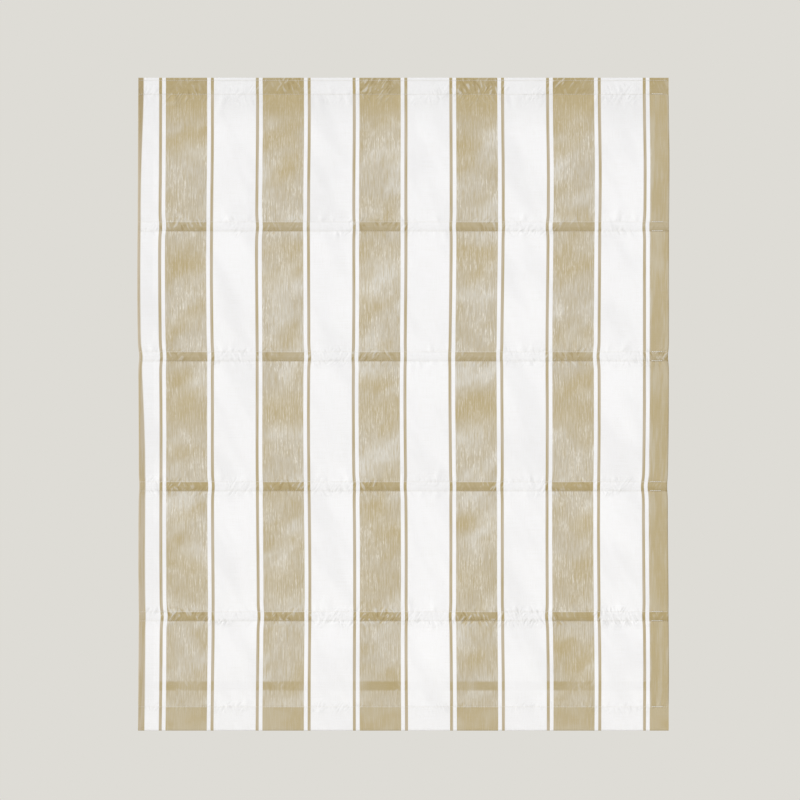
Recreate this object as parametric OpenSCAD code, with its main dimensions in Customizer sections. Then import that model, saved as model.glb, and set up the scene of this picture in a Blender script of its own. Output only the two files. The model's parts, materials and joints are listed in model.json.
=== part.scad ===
// Flat roman blind, let down to its full drop, on a cordless spring-balanced head rail.
// Frame: +Z up, the front of the cloth faces -Y, X across the width. The origin lies on the plane
// of the brackets' top faces, midway between the four fixing holes.

/* [Cloth] */
// Finished width of the cloth
cloth_w = 990; // [900:1:1400]
// Finished drop, from the cloth's top edge to its bottom edge
cloth_drop = 1220; // [1000:1:1800]
// Thickness of the cloth
cloth_t = 0.6; // [0.4:0.1:1]
// Gap between the ceiling and the cloth's top edge
cloth_clear = 1.5; // [0.5:0.5:3]
// Height of the header hem, turned down behind the top edge
header_h = 31; // [29:1:34]
// From the cloth's top edge to the middle of the first rod pocket
first_pocket = 278; // [200:1:320]
// From the middle of the last rod pocket to the cloth's bottom edge
bottom_flap = 214; // [170:1:300]
// Height of a rod pocket, between its two stitch rows
pocket_h = 17; // [14:0.5:24]
// Height of the bottom hem, from the bottom edge to its stitch row
hem_h = 45; // [42:1:60]
// Width of the side hems
side_hem = 28; // [20:1:50]
// How far the cloth bellies forward between pockets
belly = 3; // [0.5:0.5:8]
// How far the cloth stands forward over a rod
pocket_bulge = 1; // [0.5:0.1:2]
// Gap between layers of cloth that are turned over each other
layer_gap = 0.2; // [0.1:0.1:0.5]

/* [Stripes] */
// Width of a broad tan stripe
stripe_w = 77; // [50:1:100]
// Width of a pin stripe
pin_w = 5.6; // [3:0.1:8]
// Gap between a broad stripe and the pin stripe beside it
pin_gap = 7; // [5:0.5:12]
// White between two pin stripes
white_w = 78.4; // [50:0.1:110]
// From the cloth's left edge to its first broad stripe
first_stripe = 51.3; // [46:0.1:70]
// Width of the tan left at the cloth's left edge
edge_stripe = 10; // [5:0.5:20]
// How far the stripes' thicker weave stands forward of the white
stripe_rise = 0.05; // [0.03:0.01:0.1]

/* [Rods] */
// Diameter of a glass-fibre rod
rod_d = 4; // [3:0.5:6]
// Wall of the cap on a rod's end
rod_cap_wall = 0.6; // [0.4:0.1:1]
// Length of the cap on a rod's end
rod_cap_len = 12; // [8:1:20]
// From the cloth's side edge to the end of a rod's cap
rod_inset = 14; // [12:1:30]
// Thickness of the pocket tape
tape_t = 0.5; // [0.3:0.1:0.8]
// From the cloth's side edge to the end of a pocket tape
tape_inset = 11; // [8:1:20]
// Running room round the rods, the bar and the tapes
soft_clear = 0.3; // [0.2:0.05:0.5]

/* [Bottom bar] */
// Thickness of the bottom bar
bar_t = 4; // [3:0.5:6]
// Height of the bottom bar
bar_h = 30; // [20:1:34]
// From the cloth's side edge to the end of the bar's cap
bar_inset = 8; // [5:1:20]
// Length of the cap that shows past the bar's end
bar_cap_len = 3; // [2:0.5:6]
// From the cloth's bottom edge up to the middle of the anchor tape
anchor_up = 85; // [70:1:110]

/* [Head rail] */
// Room between the spring motor and the rail's back wall
motor_room = 2.5; // [1:0.1:8]
// Height of the head rail
rail_h = 36; // [34:1:50]
// Wall of the head rail
rail_wall = 1.4; // [1:0.1:2]
// Radius of the rail's lower corners
rail_round = 2; // [0.5:0.5:4]
// Width of the lips that turn in along the rail's open top
rail_lip = 9; // [7:0.5:11]
// From the cloth's side edge to the outside of an end cap
rail_inset = 1; // [0:0.5:6]
// Thickness of an end cap's plate
cap_t = 2.5; // [2:0.5:5]
// Length of an end cap's plug inside the rail
plug_len = 11; // [9:1:16]
// Height of the hook tape on the rail's front
hook_h = 22; // [16:1:24]
// Thickness of the hook tape
hook_t = 1.2; // [0.8:0.1:2]
// Thickness of the loop tape
loop_t = 1.3; // [0.8:0.1:2]

/* [Brackets] */
// From the cloth's side edge to the bracket's fixing holes
bracket_inset = 175; // [160:1:220]
// Distance between the two fixing holes of one bracket
hole_span_y = 16; // [12:1:20]
// Diameter of a fixing hole
hole_d = 4.8; // [4:0.1:6]
// Thickness of the bracket's steel
bracket_t = 1.6; // [1.2:0.1:2.5]
// Width of a bracket, along the rail
bracket_w = 44; // [38:1:60]
// Room between the bracket and the rail for the latch
latch_room = 5; // [4:0.5:8]
// Length of the latch's handle from its pivot
latch_handle = 28; // [26:1:36]
// Diameter of the latch's pivot pin
latch_pin_d = 5; // [4:0.5:6]

/* [Lift] */
// From the cloth's side edge to the outer lift cords
cord_inset = 90; // [70:1:120]
// Diameter of a lift cord
cord_d = 1.2; // [0.8:0.1:1.6]
// Width across the flats of the square lift shaft
shaft_w = 5; // [4:0.5:6]
// Diameter of a cord spool's drum
drum_d = 20; // [16:0.5:21]
// Length of a cord spool's drum
drum_len = 22; // [20:1:30]
// How far a spool's flange stands out from its drum
flange_h = 2.5; // [2:0.25:3]
// Diameter of the spools' and drum's journals
journal_d = 10; // [9:0.5:11]
// Radial running clearance of a journal
run_clear = 0.05; // [0.03:0.01:0.1]
// Thickness of a cradle's base and of its bearing walls
cradle_t = 2.5; // [2:0.5:3.5]
// Inside diameter of a cord ring
ring_bore = 6; // [4:0.5:8]
// Section of a cord ring
ring_t = 2.2; // [1.5:0.1:3]

/* [Spring motor] */
// From the cloth's right edge to the middle of the spring motor
motor_inset = 330; // [300:1:380]
// Teeth on each gear rim
gear_teeth = 20; // [18:1:22]
// Gear module
gear_module = 0.9; // [0.8:0.05:1]
// Play between meshed teeth
backlash = 0.3; // [0.2:0.05:0.4]
// Width of the spring tape
spring_w = 16; // [10:1:20]
// Thickness of the spring's coil on the output drum
spring_coil = 2.5; // [1.5:0.1:2.8]

/* [Hidden] */
$fn = 64;
pocket_count = 4;
belly_steps = 8;
bulge_steps = 4;
cover = 0.01;

// Depths behind the rail's front face, which set how deep the rail is
rod_cap_r = rod_d / 2 + rod_cap_wall;
pad_t = 1.2;
ring_r = ring_bore / 2 + ring_t;
cord_clear = 0.25;
wrap_r = drum_d / 2 + cord_clear + cord_d / 2;
pitch_r = gear_module * gear_teeth / 2;
mesh_slack = 0.05;
gear_gap = 2 * pitch_r + mesh_slack;
plate_margin = 3;
pocket_depth = 2 * rod_cap_r + 2 * soft_clear + tape_t;
cord_depth = pocket_depth + layer_gap / 2 + pad_t + ring_r - ring_t / 2 - hook_t - loop_t;
motor_depth = cord_depth + wrap_r + gear_gap + pitch_r + plate_margin;
rail_depth = motor_depth + motor_room + rail_wall;
hole_span_x = cloth_w - 2 * bracket_inset;
motor_x = cloth_w / 2 - motor_inset;

// Levels
rail_top = -bracket_t - latch_room;
rail_floor = rail_top - rail_h + rail_wall;
rail_front = -rail_depth / 2;
lip_under = rail_top - rail_wall;
cloth_top = -cloth_clear;
cloth_bottom = cloth_top - cloth_drop;
pocket_pitch = (cloth_drop - first_pocket - bottom_flap) / (pocket_count - 1);
header_row = cloth_top - header_h;
hem_row = cloth_bottom + hem_h;
anchor_z = cloth_bottom + anchor_up;
function pocket_z(k) = cloth_top - first_pocket - (k - 1) * pocket_pitch;

// Layers, from the rail's front towards the viewer
hook_y = rail_front - hook_t;
loop_y = hook_y - loop_t;
turned_y = loop_y - cloth_t / 2;
face_y = turned_y - cloth_t - layer_gap;
hem_back_y = face_y + cloth_t * 1.5 + layer_gap;
tape_y = hem_back_y + layer_gap + tape_t / 2;
rod_y = hem_back_y + soft_clear + rod_cap_r;
pocket_r = rod_cap_r + soft_clear + tape_t / 2;
pocket_back_y = rod_y + pocket_r + tape_t / 2;
pad_y = pocket_back_y + layer_gap / 2;
cord_y = pad_y + pad_t + ring_r - ring_t / 2;

// Lift shaft
flange_r = drum_d / 2 + flange_h;
shaft_y = cord_y + wrap_r;
shaft_z = rail_floor + cradle_t + flange_r + 1;
shaft_clear = 0.05;
cord_x = [-cloth_w / 2 + cord_inset, 0, cloth_w / 2 - cord_inset];
rail_half = cloth_w / 2 - rail_inset - cap_t;
journal_r = journal_d / 2;
journal_len = cradle_t + 2;
flange_t = 1.5;
bush_r = shaft_w * 0.9;
bush_len = plug_len - 3;

// Spring motor
gear_w = 4;
storage_y = shaft_y + gear_gap;
core_r = pitch_r - 3.5;
rim_r = pitch_r - 0.2;
rim_t = 1.5;
side_play = 0.5;
drum_space = spring_w + 1;
motor_half = (gear_w + drum_space + rim_t) / 2;
plate_t = 2.5;
storage_journal_r = 3;

white = [0.96, 0.955, 0.94];
tan = [0.77, 0.71, 0.58];

// Extrudes a section drawn in (Y, Z) from x0 to x1.
module along_x(x0, x1) {
    translate([x0, 0, 0]) rotate([90, 0, 90]) linear_extrude(x1 - x0) children();
}

// A cylinder along X, centred on (y, z).
module rod_x(x0, x1, y, z, r) {
    translate([x0, y, z]) rotate([0, 90, 0]) cylinder(h = x1 - x0, r = r);
}

// A cone along X, from radius r0 to r1.
module cone_x(x0, x1, y, z, r0, r1) {
    translate([x0, y, z]) rotate([0, 90, 0]) cylinder(h = x1 - x0, r1 = r0, r2 = r1);
}

// The square hole that the lift shaft drives.
module shaft_hole(x0, x1) {
    side = shaft_w + 2 * shaft_clear;
    translate([x0, shaft_y - side / 2, shaft_z - side / 2]) cube([x1 - x0, side, side]);
}

// Sheet sections: a path of (Y, Z) points, thickened to a closed outline.
function unit(v) = v / norm(v);
function side_of(v) = [v[1], -v[0]];
function path_normal(p, i) =
    let (
        a = unit(p[min(i + 1, len(p) - 1)] - p[min(i, len(p) - 2)]),
        b = unit(p[max(i, 1)] - p[max(i - 1, 0)]),
        m = unit(a + b)
    ) side_of(m) / (m * a);
function shifted(p, d) = [for (i = [0 : len(p) - 1]) p[i] + d * path_normal(p, i)];
function reversed(p) = [for (i = [len(p) - 1 : -1 : 0]) p[i]];
module sheet_section(path, from, to) {
    polygon(concat(shifted(path, from), reversed(shifted(path, to))));
}

// Points on a round turn about c, from angle a0 to a1.
function turn(c, r, a0, a1, n) =
    [for (i = [0 : n]) let (a = a0 + (a1 - a0) * i / n) c + r * [cos(a), sin(a)]];

// A soft bow of the cloth between two stitch rows, open at its lower end.
function bow(z0, z1, depth, n) =
    [for (i = [0 : n - 1]) [face_y - depth * sin(180 * i / n), z0 + (z1 - z0) * i / n]];

// The front of the cloth, from the header row down to the hem row: bows between the pockets, and a
// small one over each rod.
function front_rows() = [for (k = [1 : pocket_count]) pocket_z(k)];
front_path = concat(
    [for (k = [0 : pocket_count - 1])
        let (z0 = k == 0 ? header_row : front_rows()[k - 1] - pocket_h / 2, z1 = front_rows()[k])
        each concat(
            bow(z0, z1 + pocket_h / 2, belly, belly_steps),
            bow(z1 + pocket_h / 2, z1 - pocket_h / 2, pocket_bulge, bulge_steps)
        )],
    bow(front_rows()[pocket_count - 1] - pocket_h / 2, hem_row, belly, belly_steps),
    [[face_y, hem_row]]
);

// Header: turned over the top edge and down behind. Hem: turned up round the bottom bar.
header_turn_r = (turned_y - face_y) / 2;
header_turn = [face_y + header_turn_r, cloth_top - cloth_t / 2 - header_turn_r];
hem_turn_r = (cloth_t + bar_t) / 2 + soft_clear;
hem_turn = [face_y + hem_turn_r, cloth_bottom + cloth_t / 2 + hem_turn_r];
bar_top = hem_turn[1] - bar_t / 2 + bar_h;
hem_lap = 4;
hem_inner_y = face_y + cloth_t + layer_gap;
cloth_path = concat(
    [[turned_y, header_row]],
    turn(header_turn, header_turn_r, 0, 180, 8),
    front_path,
    turn(hem_turn, hem_turn_r, 180, 360, 12),
    [
        [hem_turn[0] + hem_turn_r, bar_top + soft_clear],
        [hem_inner_y, hem_row],
        [hem_inner_y, hem_row + hem_lap]
    ]
);

module face_cloth() {
    color(white) {
        along_x(-cloth_w / 2, cloth_w / 2) sheet_section(cloth_path, -cloth_t / 2, cloth_t / 2);
        for (side = [0, 1]) mirror([side, 0, 0]) side_hem_layer();
    }
    color(tan) stripes();
}

// Stripes woven into the front, from the top edge's turn down to the bottom edge's turn: broad ones with a
// pin stripe either side, and what is left of one at the left edge.
stripe_repeat = stripe_w + 2 * (pin_gap + pin_w) + white_w;
stripe_root = 0.1;
stripe_path = concat([[face_y, header_turn[1]]], front_path, [[face_y, hem_turn[1]]]);
module stripe(x0, x1) {
    end = min(x1, cloth_w / 2 - cloth_t);
    if (end > x0) along_x(x0, end)
        sheet_section(stripe_path, stripe_root, cloth_t / 2 + stripe_rise);
}
module stripes() {
    left = -cloth_w / 2;
    stripe(left + cloth_t, left + edge_stripe);
    for (x = [left + first_stripe : stripe_repeat : cloth_w / 2 + pin_gap + pin_w]) {
        stripe(x - pin_gap - pin_w, x - pin_gap);
        stripe(x, x + stripe_w);
        stripe(x + stripe_w + pin_gap, x + stripe_w + pin_gap + pin_w);
    }
}

// A side hem: the cloth turned back behind the front, joined to it along the side edge. It stops short
// of the header hem and of the bottom hem.
function between(p, q, share) = p + (q - p) * share;
front_last = len(front_path) - 1;
side_path = concat(
    [between(front_path[0], front_path[1], 0.1)],
    [for (i = [1 : front_last - 1]) front_path[i]],
    [between(front_path[front_last - 1], front_path[front_last], 0.5)]
);
module side_hem_layer() {
    near = -cloth_t / 2 - layer_gap;
    far = near - cloth_t;
    edge = -cloth_w / 2;
    along_x(edge, edge + cloth_t) sheet_section(side_path, 0, far);
    along_x(edge + cloth_t, edge + side_hem) sheet_section(side_path, near, far);
}

// Head rail: an extruded channel, open at the top between two inward lips.
lip_edge = rail_depth / 2 - rail_wall - rail_lip;
nozzle_wall = 1.4;
nozzle_bore = cord_d / 2 + 1;
nozzle_r = nozzle_bore + nozzle_wall;
hook_top = rail_top - 1;
hook_low = hook_top - hook_h;
rib = hook_t / 2;
rib_gap = 0.2;
module rail_section() {
    outer = rail_depth / 2;
    inner = outer - rail_wall;
    under = rail_floor - rail_wall;
    r = rail_round;
    polygon(concat(
        [
            [-outer - rib, rail_top], [-outer - rib, hook_top + rib_gap], [-outer, hook_top + rib_gap],
            [-outer, hook_low - rib_gap], [-outer - rib, hook_low - rib_gap],
            [-outer - rib, hook_low - rib_gap - rib], [-outer, hook_low - rib_gap - rib]
        ],
        turn([-outer + r, under + r], r, 180, 270, 5),
        turn([outer - r, under + r], r, 270, 360, 5),
        [
            [outer, rail_top], [lip_edge, rail_top], [lip_edge, lip_under], [inner, lip_under],
            [inner, rail_floor], [-inner, rail_floor], [-inner, lip_under], [-lip_edge, lip_under],
            [-lip_edge, rail_top]
        ]
    ));
}
module head_rail() {
    color([0.9, 0.9, 0.89]) difference() {
        along_x(-rail_half, rail_half) rail_section();
        for (x = cord_x)
            translate([x, cord_y, rail_floor - rail_wall - 1])
                cylinder(h = rail_wall + 2, r = nozzle_r + 0.2);
    }
}

// End cap: a plate over the rail's end, a plug that lines the rail and a bearing for the shaft's bush.
plug_fit = 0.15;
plug_wall = 1.6;
boss_wall = 2.5;
bore_end = rail_half - plug_len + bush_len + side_play;
module plug_section() {
    half = rail_depth / 2 - rail_wall - plug_fit;
    low = rail_floor + plug_fit;
    high = lip_under - plug_fit;
    polygon([
        [-half, high], [-half, low], [half, low], [half, high],
        [half - plug_wall, high], [half - plug_wall, low + plug_wall],
        [plug_wall - half, low + plug_wall], [plug_wall - half, high]
    ]);
}
module cap_section() {
    outer = rail_depth / 2;
    under = rail_floor - rail_wall;
    r = rail_round;
    polygon(concat(
        turn([-outer + r, under + r], r, 180, 270, 5),
        turn([outer - r, under + r], r, 270, 360, 5),
        turn([outer - r, rail_top - r], r, 0, 90, 5),
        turn([-outer + r, rail_top - r], r, 90, 180, 5)
    ));
}
module end_cap(side) {
    color([0.88, 0.88, 0.86]) mirror([side < 0 ? 1 : 0, 0, 0]) difference() {
        union() {
            along_x(rail_half, rail_half + cap_t) cap_section();
            along_x(rail_half - plug_len, rail_half + cap_t / 2) plug_section();
            rod_x(rail_half - plug_len, rail_half + cap_t / 2, shaft_y, shaft_z, bush_r + boss_wall);
        }
        rod_x(rail_half - plug_len - 1, bore_end, shaft_y, shaft_z, bush_r + run_clear);
    }
}

// Hook tape on the rail's front, loop tape on the back of the header.
loop_over = 1;
hook_end = 6;
loop_end = 14;
module hook_tape() {
    half = rail_half - hook_end;
    color([0.85, 0.85, 0.83])
        translate([-half, hook_y, hook_low]) cube([2 * half, hook_t, hook_h]);
}
module loop_tape() {
    half = cloth_w / 2 - loop_end;
    tall = hook_h + 2 * loop_over;
    color([0.93, 0.93, 0.91])
        translate([-half, loop_y, hook_top + loop_over - tall]) cube([2 * half, loop_t, tall]);
}

// Bracket: bent steel, screwed up through its two holes. Its foot carries the rail's front lip, and the
// latch carries the rear lip.
bend_r = bracket_t;
leg_y = -lip_edge + bend_r / 2 + 0.2 + bracket_t / 2;
foot_z = lip_under - bracket_t / 2;
foot_reach = 5;
bracket_back = 18;
hole_edge = 12;
corner_cut = 3.5;
bracket_x = hole_span_x / 2 - hole_edge;
latch_x = bracket_x + bracket_w - 14;
latch_y = 6;
latch_pin_r = latch_pin_d / 2;
bracket_path = concat(
    [[bracket_back, -bracket_t / 2]],
    turn([leg_y + bend_r, -bracket_t / 2 - bend_r], bend_r, 90, 180, 6),
    turn([leg_y - bend_r, foot_z + bend_r], bend_r, 0, -90, 6),
    [[-lip_edge - foot_reach, foot_z]]
);
module bracket(side) {
    color([0.78, 0.79, 0.8]) mirror([side < 0 ? 1 : 0, 0, 0]) difference() {
        along_x(bracket_x, bracket_x + bracket_w)
            sheet_section(bracket_path, -bracket_t / 2, bracket_t / 2);
        for (y = [-hole_span_y / 2, hole_span_y / 2])
            translate([hole_span_x / 2, y, -bracket_t - 1]) cylinder(h = bracket_t + 2, r = hole_d / 2);
        translate([latch_x, latch_y, -bracket_t - 1])
            cylinder(h = bracket_t + 2, r = latch_pin_r + run_clear);
        for (x = [bracket_x, bracket_x + bracket_w]) translate([x, bracket_back, -bracket_t - 1])
            rotate(45) translate([-corner_cut, -corner_cut, 0])
                cube([2 * corner_cut, 2 * corner_cut, bracket_t + 2]);
    }
}

// Latch: a lever on a pin under the bracket. Its handle lies between bracket and rail, its cam under the
// rail's rear lip.
hub_r = latch_pin_r + 4;
hub_top = -bracket_t - 0.3;
handle_top = -bracket_t - 0.5;
handle_t = latch_room - 1.5;
handle_w = 8;
cam_top = lip_under - 0.2;
cam_t = 2.5;
cam_w = 7;
cam_reach = lip_edge + 6 - latch_y;
pin_head_t = 1.2;
module lever_arm(length, width, root, top, thick) {
    end = width / 2;
    translate([0, 0, top - thick]) linear_extrude(thick) union() {
        polygon([[-root / 2, 0], [root / 2, 0], [end, length - end], [-end, length - end]]);
        translate([0, length - end]) circle(r = end);
    }
}
module latch(side) {
    color([0.86, 0.86, 0.85]) mirror([side < 0 ? 1 : 0, 0, 0]) translate([latch_x, latch_y, 0])
        difference() {
            union() {
                translate([0, 0, cam_top - cam_t]) cylinder(h = hub_top - cam_top + cam_t, r = hub_r);
                lever_arm(latch_handle, handle_w, 2 * hub_r - 1, handle_top, handle_t);
                lever_arm(cam_reach, cam_w, 2 * hub_r - 1, cam_top, cam_t);
            }
            translate([0, 0, cam_top - cam_t - 1])
                cylinder(h = cam_t - cam_top + 2, r = latch_pin_r + run_clear);
        }
}
module latch_pin(side) {
    head_z = cam_top - cam_t - 0.2;
    color([0.7, 0.71, 0.73]) mirror([side < 0 ? 1 : 0, 0, 0]) translate([latch_x, latch_y, 0]) {
        translate([0, 0, head_z - 0.2]) cylinder(h = -head_z, r = latch_pin_r);
        translate([0, 0, head_z - pin_head_t]) cylinder(h = pin_head_t, r = latch_pin_r + 2);
    }
}

// Lift shaft: a square bar that turns the three spools, held in a bush at each end.
bush_collar = 1.5;
bush_gap = 0.3;
module lift_shaft() {
    half = rail_half - plug_len + bush_len - 0.5;
    color([0.68, 0.69, 0.71]) translate([-half, shaft_y - shaft_w / 2, shaft_z - shaft_w / 2])
        cube([2 * half, shaft_w, shaft_w]);
}
module shaft_bush(side) {
    mouth = rail_half - plug_len - bush_gap;
    color([0.93, 0.92, 0.88]) mirror([side < 0 ? 1 : 0, 0, 0]) difference() {
        union() {
            rod_x(mouth - cover, rail_half - plug_len + bush_len, shaft_y, shaft_z, bush_r);
            rod_x(mouth - bush_collar, mouth, shaft_y, shaft_z, bush_r + 1.5);
        }
        shaft_hole(mouth - bush_collar - 1, rail_half - plug_len + bush_len + 1);
    }
}

// Spool: a flanged drum for one lift cord, with a journal at each end.
spool_half = drum_len / 2 + flange_t;
lead = flange_h / 2;
lead_r = drum_d / 2 + lead;
module spool(x) {
    color([0.95, 0.94, 0.9]) difference() {
        union() {
            rod_x(x - spool_half, x + spool_half, shaft_y, shaft_z, drum_d / 2);
            rod_x(x - spool_half, x - drum_len / 2, shaft_y, shaft_z, flange_r);
            rod_x(x + drum_len / 2, x + spool_half, shaft_y, shaft_z, flange_r);
            cone_x(x - drum_len / 2, x - drum_len / 2 + lead, shaft_y, shaft_z, lead_r, drum_d / 2);
            cone_x(x + drum_len / 2 - lead, x + drum_len / 2, shaft_y, shaft_z, drum_d / 2, lead_r);
            rod_x(x - spool_half - journal_len, x + spool_half + journal_len, shaft_y, shaft_z, journal_r);
        }
        shaft_hole(x - spool_half - journal_len - 1, x + spool_half + journal_len + 1);
    }
}

// Cradle: a base on the rail's floor, two open-topped bearings for a spool and a nozzle for its cord.
cradle_in = spool_half + side_play;
cradle_out = cradle_in + cradle_t;
cradle_front = cord_y - nozzle_r - 1.5;
cradle_back = shaft_y + flange_r;
bearing_wall = 3;
snap_share = 0.86;
nozzle_drop = 2;
module bearing_section() {
    wide = journal_r + bearing_wall;
    difference() {
        union() {
            translate([shaft_y, shaft_z]) circle(r = wide);
            polygon([
                [shaft_y - wide - 2, rail_floor], [shaft_y + wide + 2, rail_floor],
                [shaft_y + wide - 1, shaft_z], [shaft_y - wide + 1, shaft_z]
            ]);
        }
        translate([shaft_y, shaft_z]) circle(r = journal_r + run_clear);
        translate([shaft_y - journal_r * snap_share, shaft_z + journal_r * 0.2])
            square([2 * journal_r * snap_share, wide]);
    }
}
module cradle(x) {
    color([0.9, 0.9, 0.88]) difference() {
        union() {
            translate([x - cradle_out, cradle_front, rail_floor])
                cube([2 * cradle_out, cradle_back - cradle_front, cradle_t]);
            along_x(x - cradle_out, x - cradle_in) bearing_section();
            along_x(x + cradle_in, x + cradle_out) bearing_section();
            translate([x, cord_y, rail_floor - rail_wall - nozzle_drop])
                cylinder(h = rail_wall + nozzle_drop + cradle_t / 2, r = nozzle_r);
        }
        translate([x, cord_y, rail_floor - rail_wall - nozzle_drop - 1])
            cylinder(h = rail_wall + nozzle_drop + cradle_t + 2, r = nozzle_bore);
    }
}

// Spring motor: two drums with meshed gear rims between two side plates. The spring tape winds from the
// storage drum to the output drum as the cloth is let down.
base_r = pitch_r * cos(20);
tip_r = pitch_r + gear_module;
root_r = pitch_r - 1.25 * gear_module;
function involute(r) = let (a = acos(base_r / r)) tan(a) * 180 / PI - a;
tooth_half = 90 / gear_teeth - backlash / 4 / pitch_r * 180 / PI;
function half_angle(r) = tooth_half + involute(pitch_r) - involute(max(r, base_r));
function polar(r, a) = [r * cos(a), r * sin(a)];
flank_radii = concat([root_r], [for (i = [0 : 4]) base_r + (tip_r - base_r) * i / 4]);
gear_outline = [for (i = [0 : gear_teeth - 1])
    let (a = i * 360 / gear_teeth)
    each concat(
        [for (r = flank_radii) polar(r, a - half_angle(r))],
        [for (r = reversed(flank_radii)) polar(r, a + half_angle(r))]
    )];
motor_left = motor_x - motor_half;
motor_right = motor_x + motor_half;
half_tooth = gear_teeth % 2 == 0 ? 180 / gear_teeth : 0;
axle = side_play + plate_t + 1;
module drum_body(y, roll, axle_r) {
    along_x(motor_left, motor_left + gear_w) translate([y, shaft_z]) rotate(roll) polygon(gear_outline);
    rod_x(motor_left, motor_right, y, shaft_z, core_r);
    rod_x(motor_right - rim_t, motor_right, y, shaft_z, rim_r);
    rod_x(motor_left - axle, motor_right + axle, y, shaft_z, axle_r);
}
module output_drum() {
    color([0.93, 0.93, 0.9]) difference() {
        drum_body(shaft_y, 0, journal_r);
        shaft_hole(motor_left - axle - 1, motor_right + axle + 1);
    }
}
module storage_drum() {
    color([0.86, 0.87, 0.86]) drum_body(storage_y, half_tooth, storage_journal_r);
}

// Side plates, and the posts on the left one that hold the right one off.
post_r = 2;
post_away = tip_r + post_r + 0.6;
post_high = sqrt(post_away * post_away - gear_gap * gear_gap / 4);
plate_front = shaft_y - post_away - 3;
plate_back = storage_y + pitch_r + plate_margin;
plate_high = shaft_z + pitch_r + 4;
plate_cut = 5;
posts = [
    [shaft_y + gear_gap / 2, shaft_z + post_high],
    [shaft_y + gear_gap / 2, shaft_z - post_high],
    [shaft_y - post_away, shaft_z]
];
module plate_section() {
    difference() {
        polygon([
            [plate_front, rail_floor], [plate_back, rail_floor],
            [plate_back, plate_high - plate_cut], [plate_back - plate_cut, plate_high],
            [plate_front + plate_cut, plate_high], [plate_front, plate_high - plate_cut]
        ]);
        translate([shaft_y, shaft_z]) circle(r = journal_r + run_clear);
        translate([storage_y, shaft_z]) circle(r = storage_journal_r + run_clear);
    }
}
module motor_plate_left() {
    face = motor_left - side_play;
    color([0.82, 0.83, 0.84]) {
        along_x(face - plate_t, face) plate_section();
        for (p = posts) rod_x(face - plate_t / 2, motor_right + side_play, p[0], p[1], post_r);
    }
}
module motor_plate_right() {
    face = motor_right + side_play;
    color([0.82, 0.83, 0.84]) along_x(face, face + plate_t) plate_section();
}

// Spring tape: a coil round each drum, and the run that crosses between them.
spring_t = 0.24;
coil_in = core_r + 0.05;
coil_out_r = core_r + spring_coil;
coil_store_r = core_r + 0.8;
cross_a = acos((coil_out_r + coil_store_r - spring_t) / gear_gap);
cross_n = [cos(cross_a), sin(cross_a)];
module spring_tape() {
    start = motor_left + gear_w + (drum_space - spring_w) / 2;
    stop = start + spring_w;
    p = [shaft_y, shaft_z] + (coil_out_r - spring_t / 2) * cross_n;
    q = [storage_y, shaft_z] - (coil_store_r - spring_t / 2) * cross_n;
    step = cross_n * spring_t * 0.4;
    color([0.6, 0.62, 0.66]) difference() {
        union() {
            rod_x(start, stop, shaft_y, shaft_z, coil_out_r);
            rod_x(start, stop, storage_y, shaft_z, coil_store_r);
            along_x(start, stop) polygon([p - step, p + step, q + step, q - step]);
        }
        rod_x(start - 1, stop + 1, shaft_y, shaft_z, coil_in);
        rod_x(start - 1, stop + 1, storage_y, shaft_z, coil_in);
    }
}

// Lift cord: from its anchor straight up through the rings and the nozzle, then round its spool.
cord_sides = 8;
safety_turns = 1.5;
turn_steps = 16;
lay = cord_d * 1.3;
anchor_high = 12;
anchor_bore_deep = 8;
cord_foot = anchor_z + anchor_high / 2 - anchor_bore_deep + soft_clear;
module lift_cord(x) {
    path = concat(
        [[x, cord_y, cord_foot, 180]],
        [for (i = [0 : safety_turns * turn_steps])
            let (a = 180 - 360 * i / turn_steps)
            [x - lay * i / turn_steps, shaft_y + wrap_r * cos(a), shaft_z + wrap_r * sin(a), a]]
    );
    n = len(path);
    points = [for (p = path, j = [0 : cord_sides - 1])
        let (b = 360 * j / cord_sides, r = cord_d / 2)
        [p[0] + r * cos(b), p[1] + r * sin(b) * cos(p[3]), p[2] + r * sin(b) * sin(p[3])]];
    sides = [for (i = [0 : n - 2], j = [0 : cord_sides - 1])
        let (k = (j + 1) % cord_sides)
        [i * cord_sides + j, i * cord_sides + k, (i + 1) * cord_sides + k, (i + 1) * cord_sides + j]];
    ends = [
        [for (j = [cord_sides - 1 : -1 : 0]) j],
        [for (j = [0 : cord_sides - 1]) (n - 1) * cord_sides + j]
    ];
    color([0.95, 0.95, 0.93]) polyhedron(points = points, faces = concat(sides, ends));
}

// Pocket tape: sewn to the cloth along its two edges, with the rod in the fold between.
tape_half = cloth_w / 2 - tape_inset;
tape_flat = 3;
function tape_path(z) =
    let (
        c = [rod_y, z],
        edge = pocket_h / 2 + 1,
        from = [tape_y, z + edge - tape_flat] - c,
        a = atan2(from[1], from[0]) - acos(pocket_r / norm(from))
    ) concat(
        [[tape_y, z + edge], [tape_y, z + edge - tape_flat]],
        turn(c, pocket_r, a, -a, 8),
        [[tape_y, z - edge + tape_flat], [tape_y, z - edge]]
    );
module pocket_tape(k) {
    color([0.94, 0.94, 0.92]) along_x(-tape_half, tape_half)
        sheet_section(tape_path(pocket_z(k)), -tape_t / 2, tape_t / 2);
}

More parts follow.
